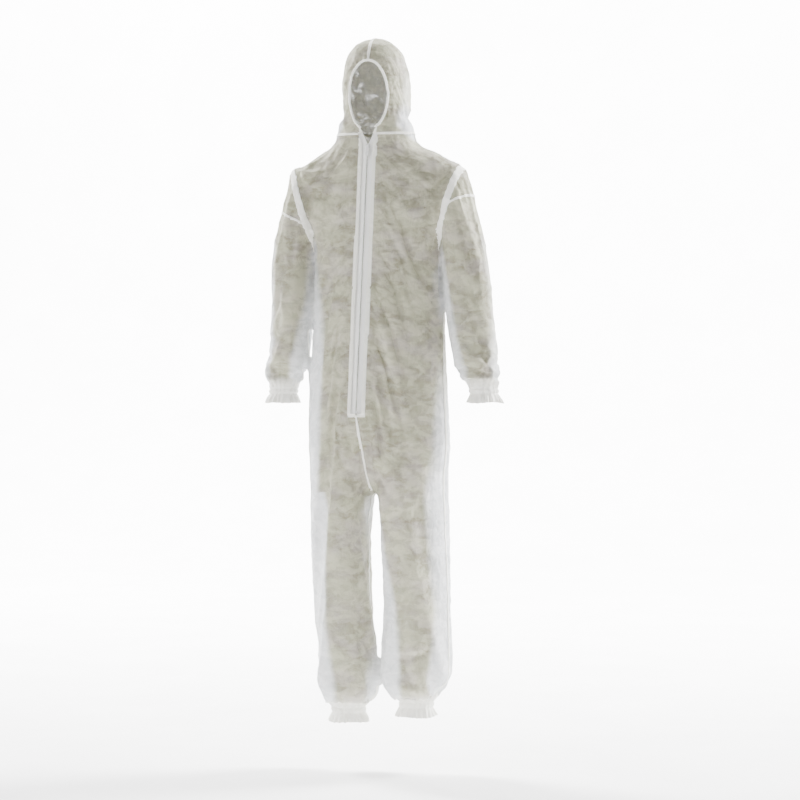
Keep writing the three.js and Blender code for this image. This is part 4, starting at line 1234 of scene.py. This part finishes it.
centreX = onLine(ends[:, :, 0])
sideY = onLine(ends[:, :, 1])
seamStitches("neck_seam_stitches", onLine(both(neckHeight)) & (np.abs(ex) < 135), "trunk")
seamStitches("hood_centre_stitches", edgeHood & onLine(ends[:, :, 0], suit["headLean"]), None, bendHood)
seamStitches("centre_back_stitches", edgeBody & centreX & (ey > 0) & (ez > suit["crotch"]) & (edgeNeck < -4), "trunk")
for s in (left, right):
    name, outwardEdge = sideNames[s], ex * s
    legMiddleEdge = middleAt(legLevels[s], ez)
    legEdge = edgeBody & (ez < suit["crotch"]) & (outwardEdge > 0) & sideY
    seamStitches(f"{name}_side_stitches", edgeBody & sideY & (ez < suit["underarmZ"]) & (ez > suit["crotch"])
                 & (outwardEdge > 120), "trunk")
    seamStitches(f"{name}_leg_side_stitches", legEdge & (outwardEdge > legMiddleEdge), None,
                 lambda made: bendLeg(made))
    seamStitches(f"{name}_inseam_stitches", legEdge & (outwardEdge < legMiddleEdge), None,
                 lambda made: bendLeg(made))
    seamStitches(f"{name}_shoulder_stitches", edgeBody & sideY & (ez > -90) & (outwardEdge > 60)
                 & (armholeOut(edgeRest, s) < -16) & (edgeNeck < -4), "trunk")
    seamStitches(f"{name}_join_stitches", edgeSleeve[s] & onLine(both(joinHeight, s)), None,
                 lambda made: bendArm(made, s))
    seamStitches(f"{name}_armhole_stitches", onLine(both(armholeOut, s), -seam["armholeFold"])
                 & (outwardEdge > 110) & (ez > suit["underarmZ"] - 4), "trunk")
for s in (left, right):
    line = zipLine(s * stitch["foldOffset"], suit["zipTop"] - 2, suit["zipBottom"] + 4, -1.9)
    row = rowAlong(f"{sideNames[s]}_front_edge_stitches", [line], threadPiece, stitch["spacing"],
                   threadFinish, 0.1, 0.05, 5)
    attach(row, "trunk")
for part in (tooth, threadPiece):
    bpy.data.objects.remove(part)
print("stitches set")


# A pale floor that curves up behind.
def makeFloor():
    z, back, r = studio["floorZ"], studio["sweepBack"], studio["sweepRadius"]
    line = [(-studio["floorSize"] / 2, z)]
    for i in range(studio["sweepSteps"] + 1):
        a = math.pi / 2 * i / studio["sweepSteps"]
        line.append((back - r + r * math.sin(a), z + r - r * math.cos(a)))
    line.append((back, z + studio["sweepTall"]))
    half = studio["floorSize"] / 2
    points = [Vector((x, y, h)) * mm for y, h in line for x in (-half, half)]
    faces = [(2 * i, 2 * i + 1, 2 * i + 3, 2 * i + 2) for i in range(len(line) - 1)]
    made = meshObject("floor", points, faces)
    smoothFaces(made)
    made.data.materials.append(makePlainFinish("paper", (250, 250, 250), 0.9, 3, 0.00001))


makeFloor()

for s in (left, right):
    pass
slotOfNode = {"zip_slider": "zip_lacquer", "zip_puller": "zip_lacquer", "bottom_stop": "zip_lacquer"}
for sideName in ("left", "right"):
    slotOfNode[sideName + "_zip_tape"] = "zip_tape"
    slotOfNode[sideName + "_top_stop"] = "zip_lacquer"
    slotOfNode[sideName + "_wrist_elastic"] = slotOfNode[sideName + "_ankle_elastic"] = "elastic"

# The CAD nodes that stay in sight take their finishes.
finishOfSlot = {"zip_tape": tapeFinish, "zip_nylon": nylonFinish, "zip_lacquer": lacquerFinish,
                "elastic": elasticFinish, "seam_thread": threadFinish, "double_cloth": doubleFinish,
                "cloth": clothFinish}
for name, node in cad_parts.items():
    if not node.hide_render:
        node.data.materials.clear()
        node.data.materials.append(finishOfSlot[slotOfNode[name]])
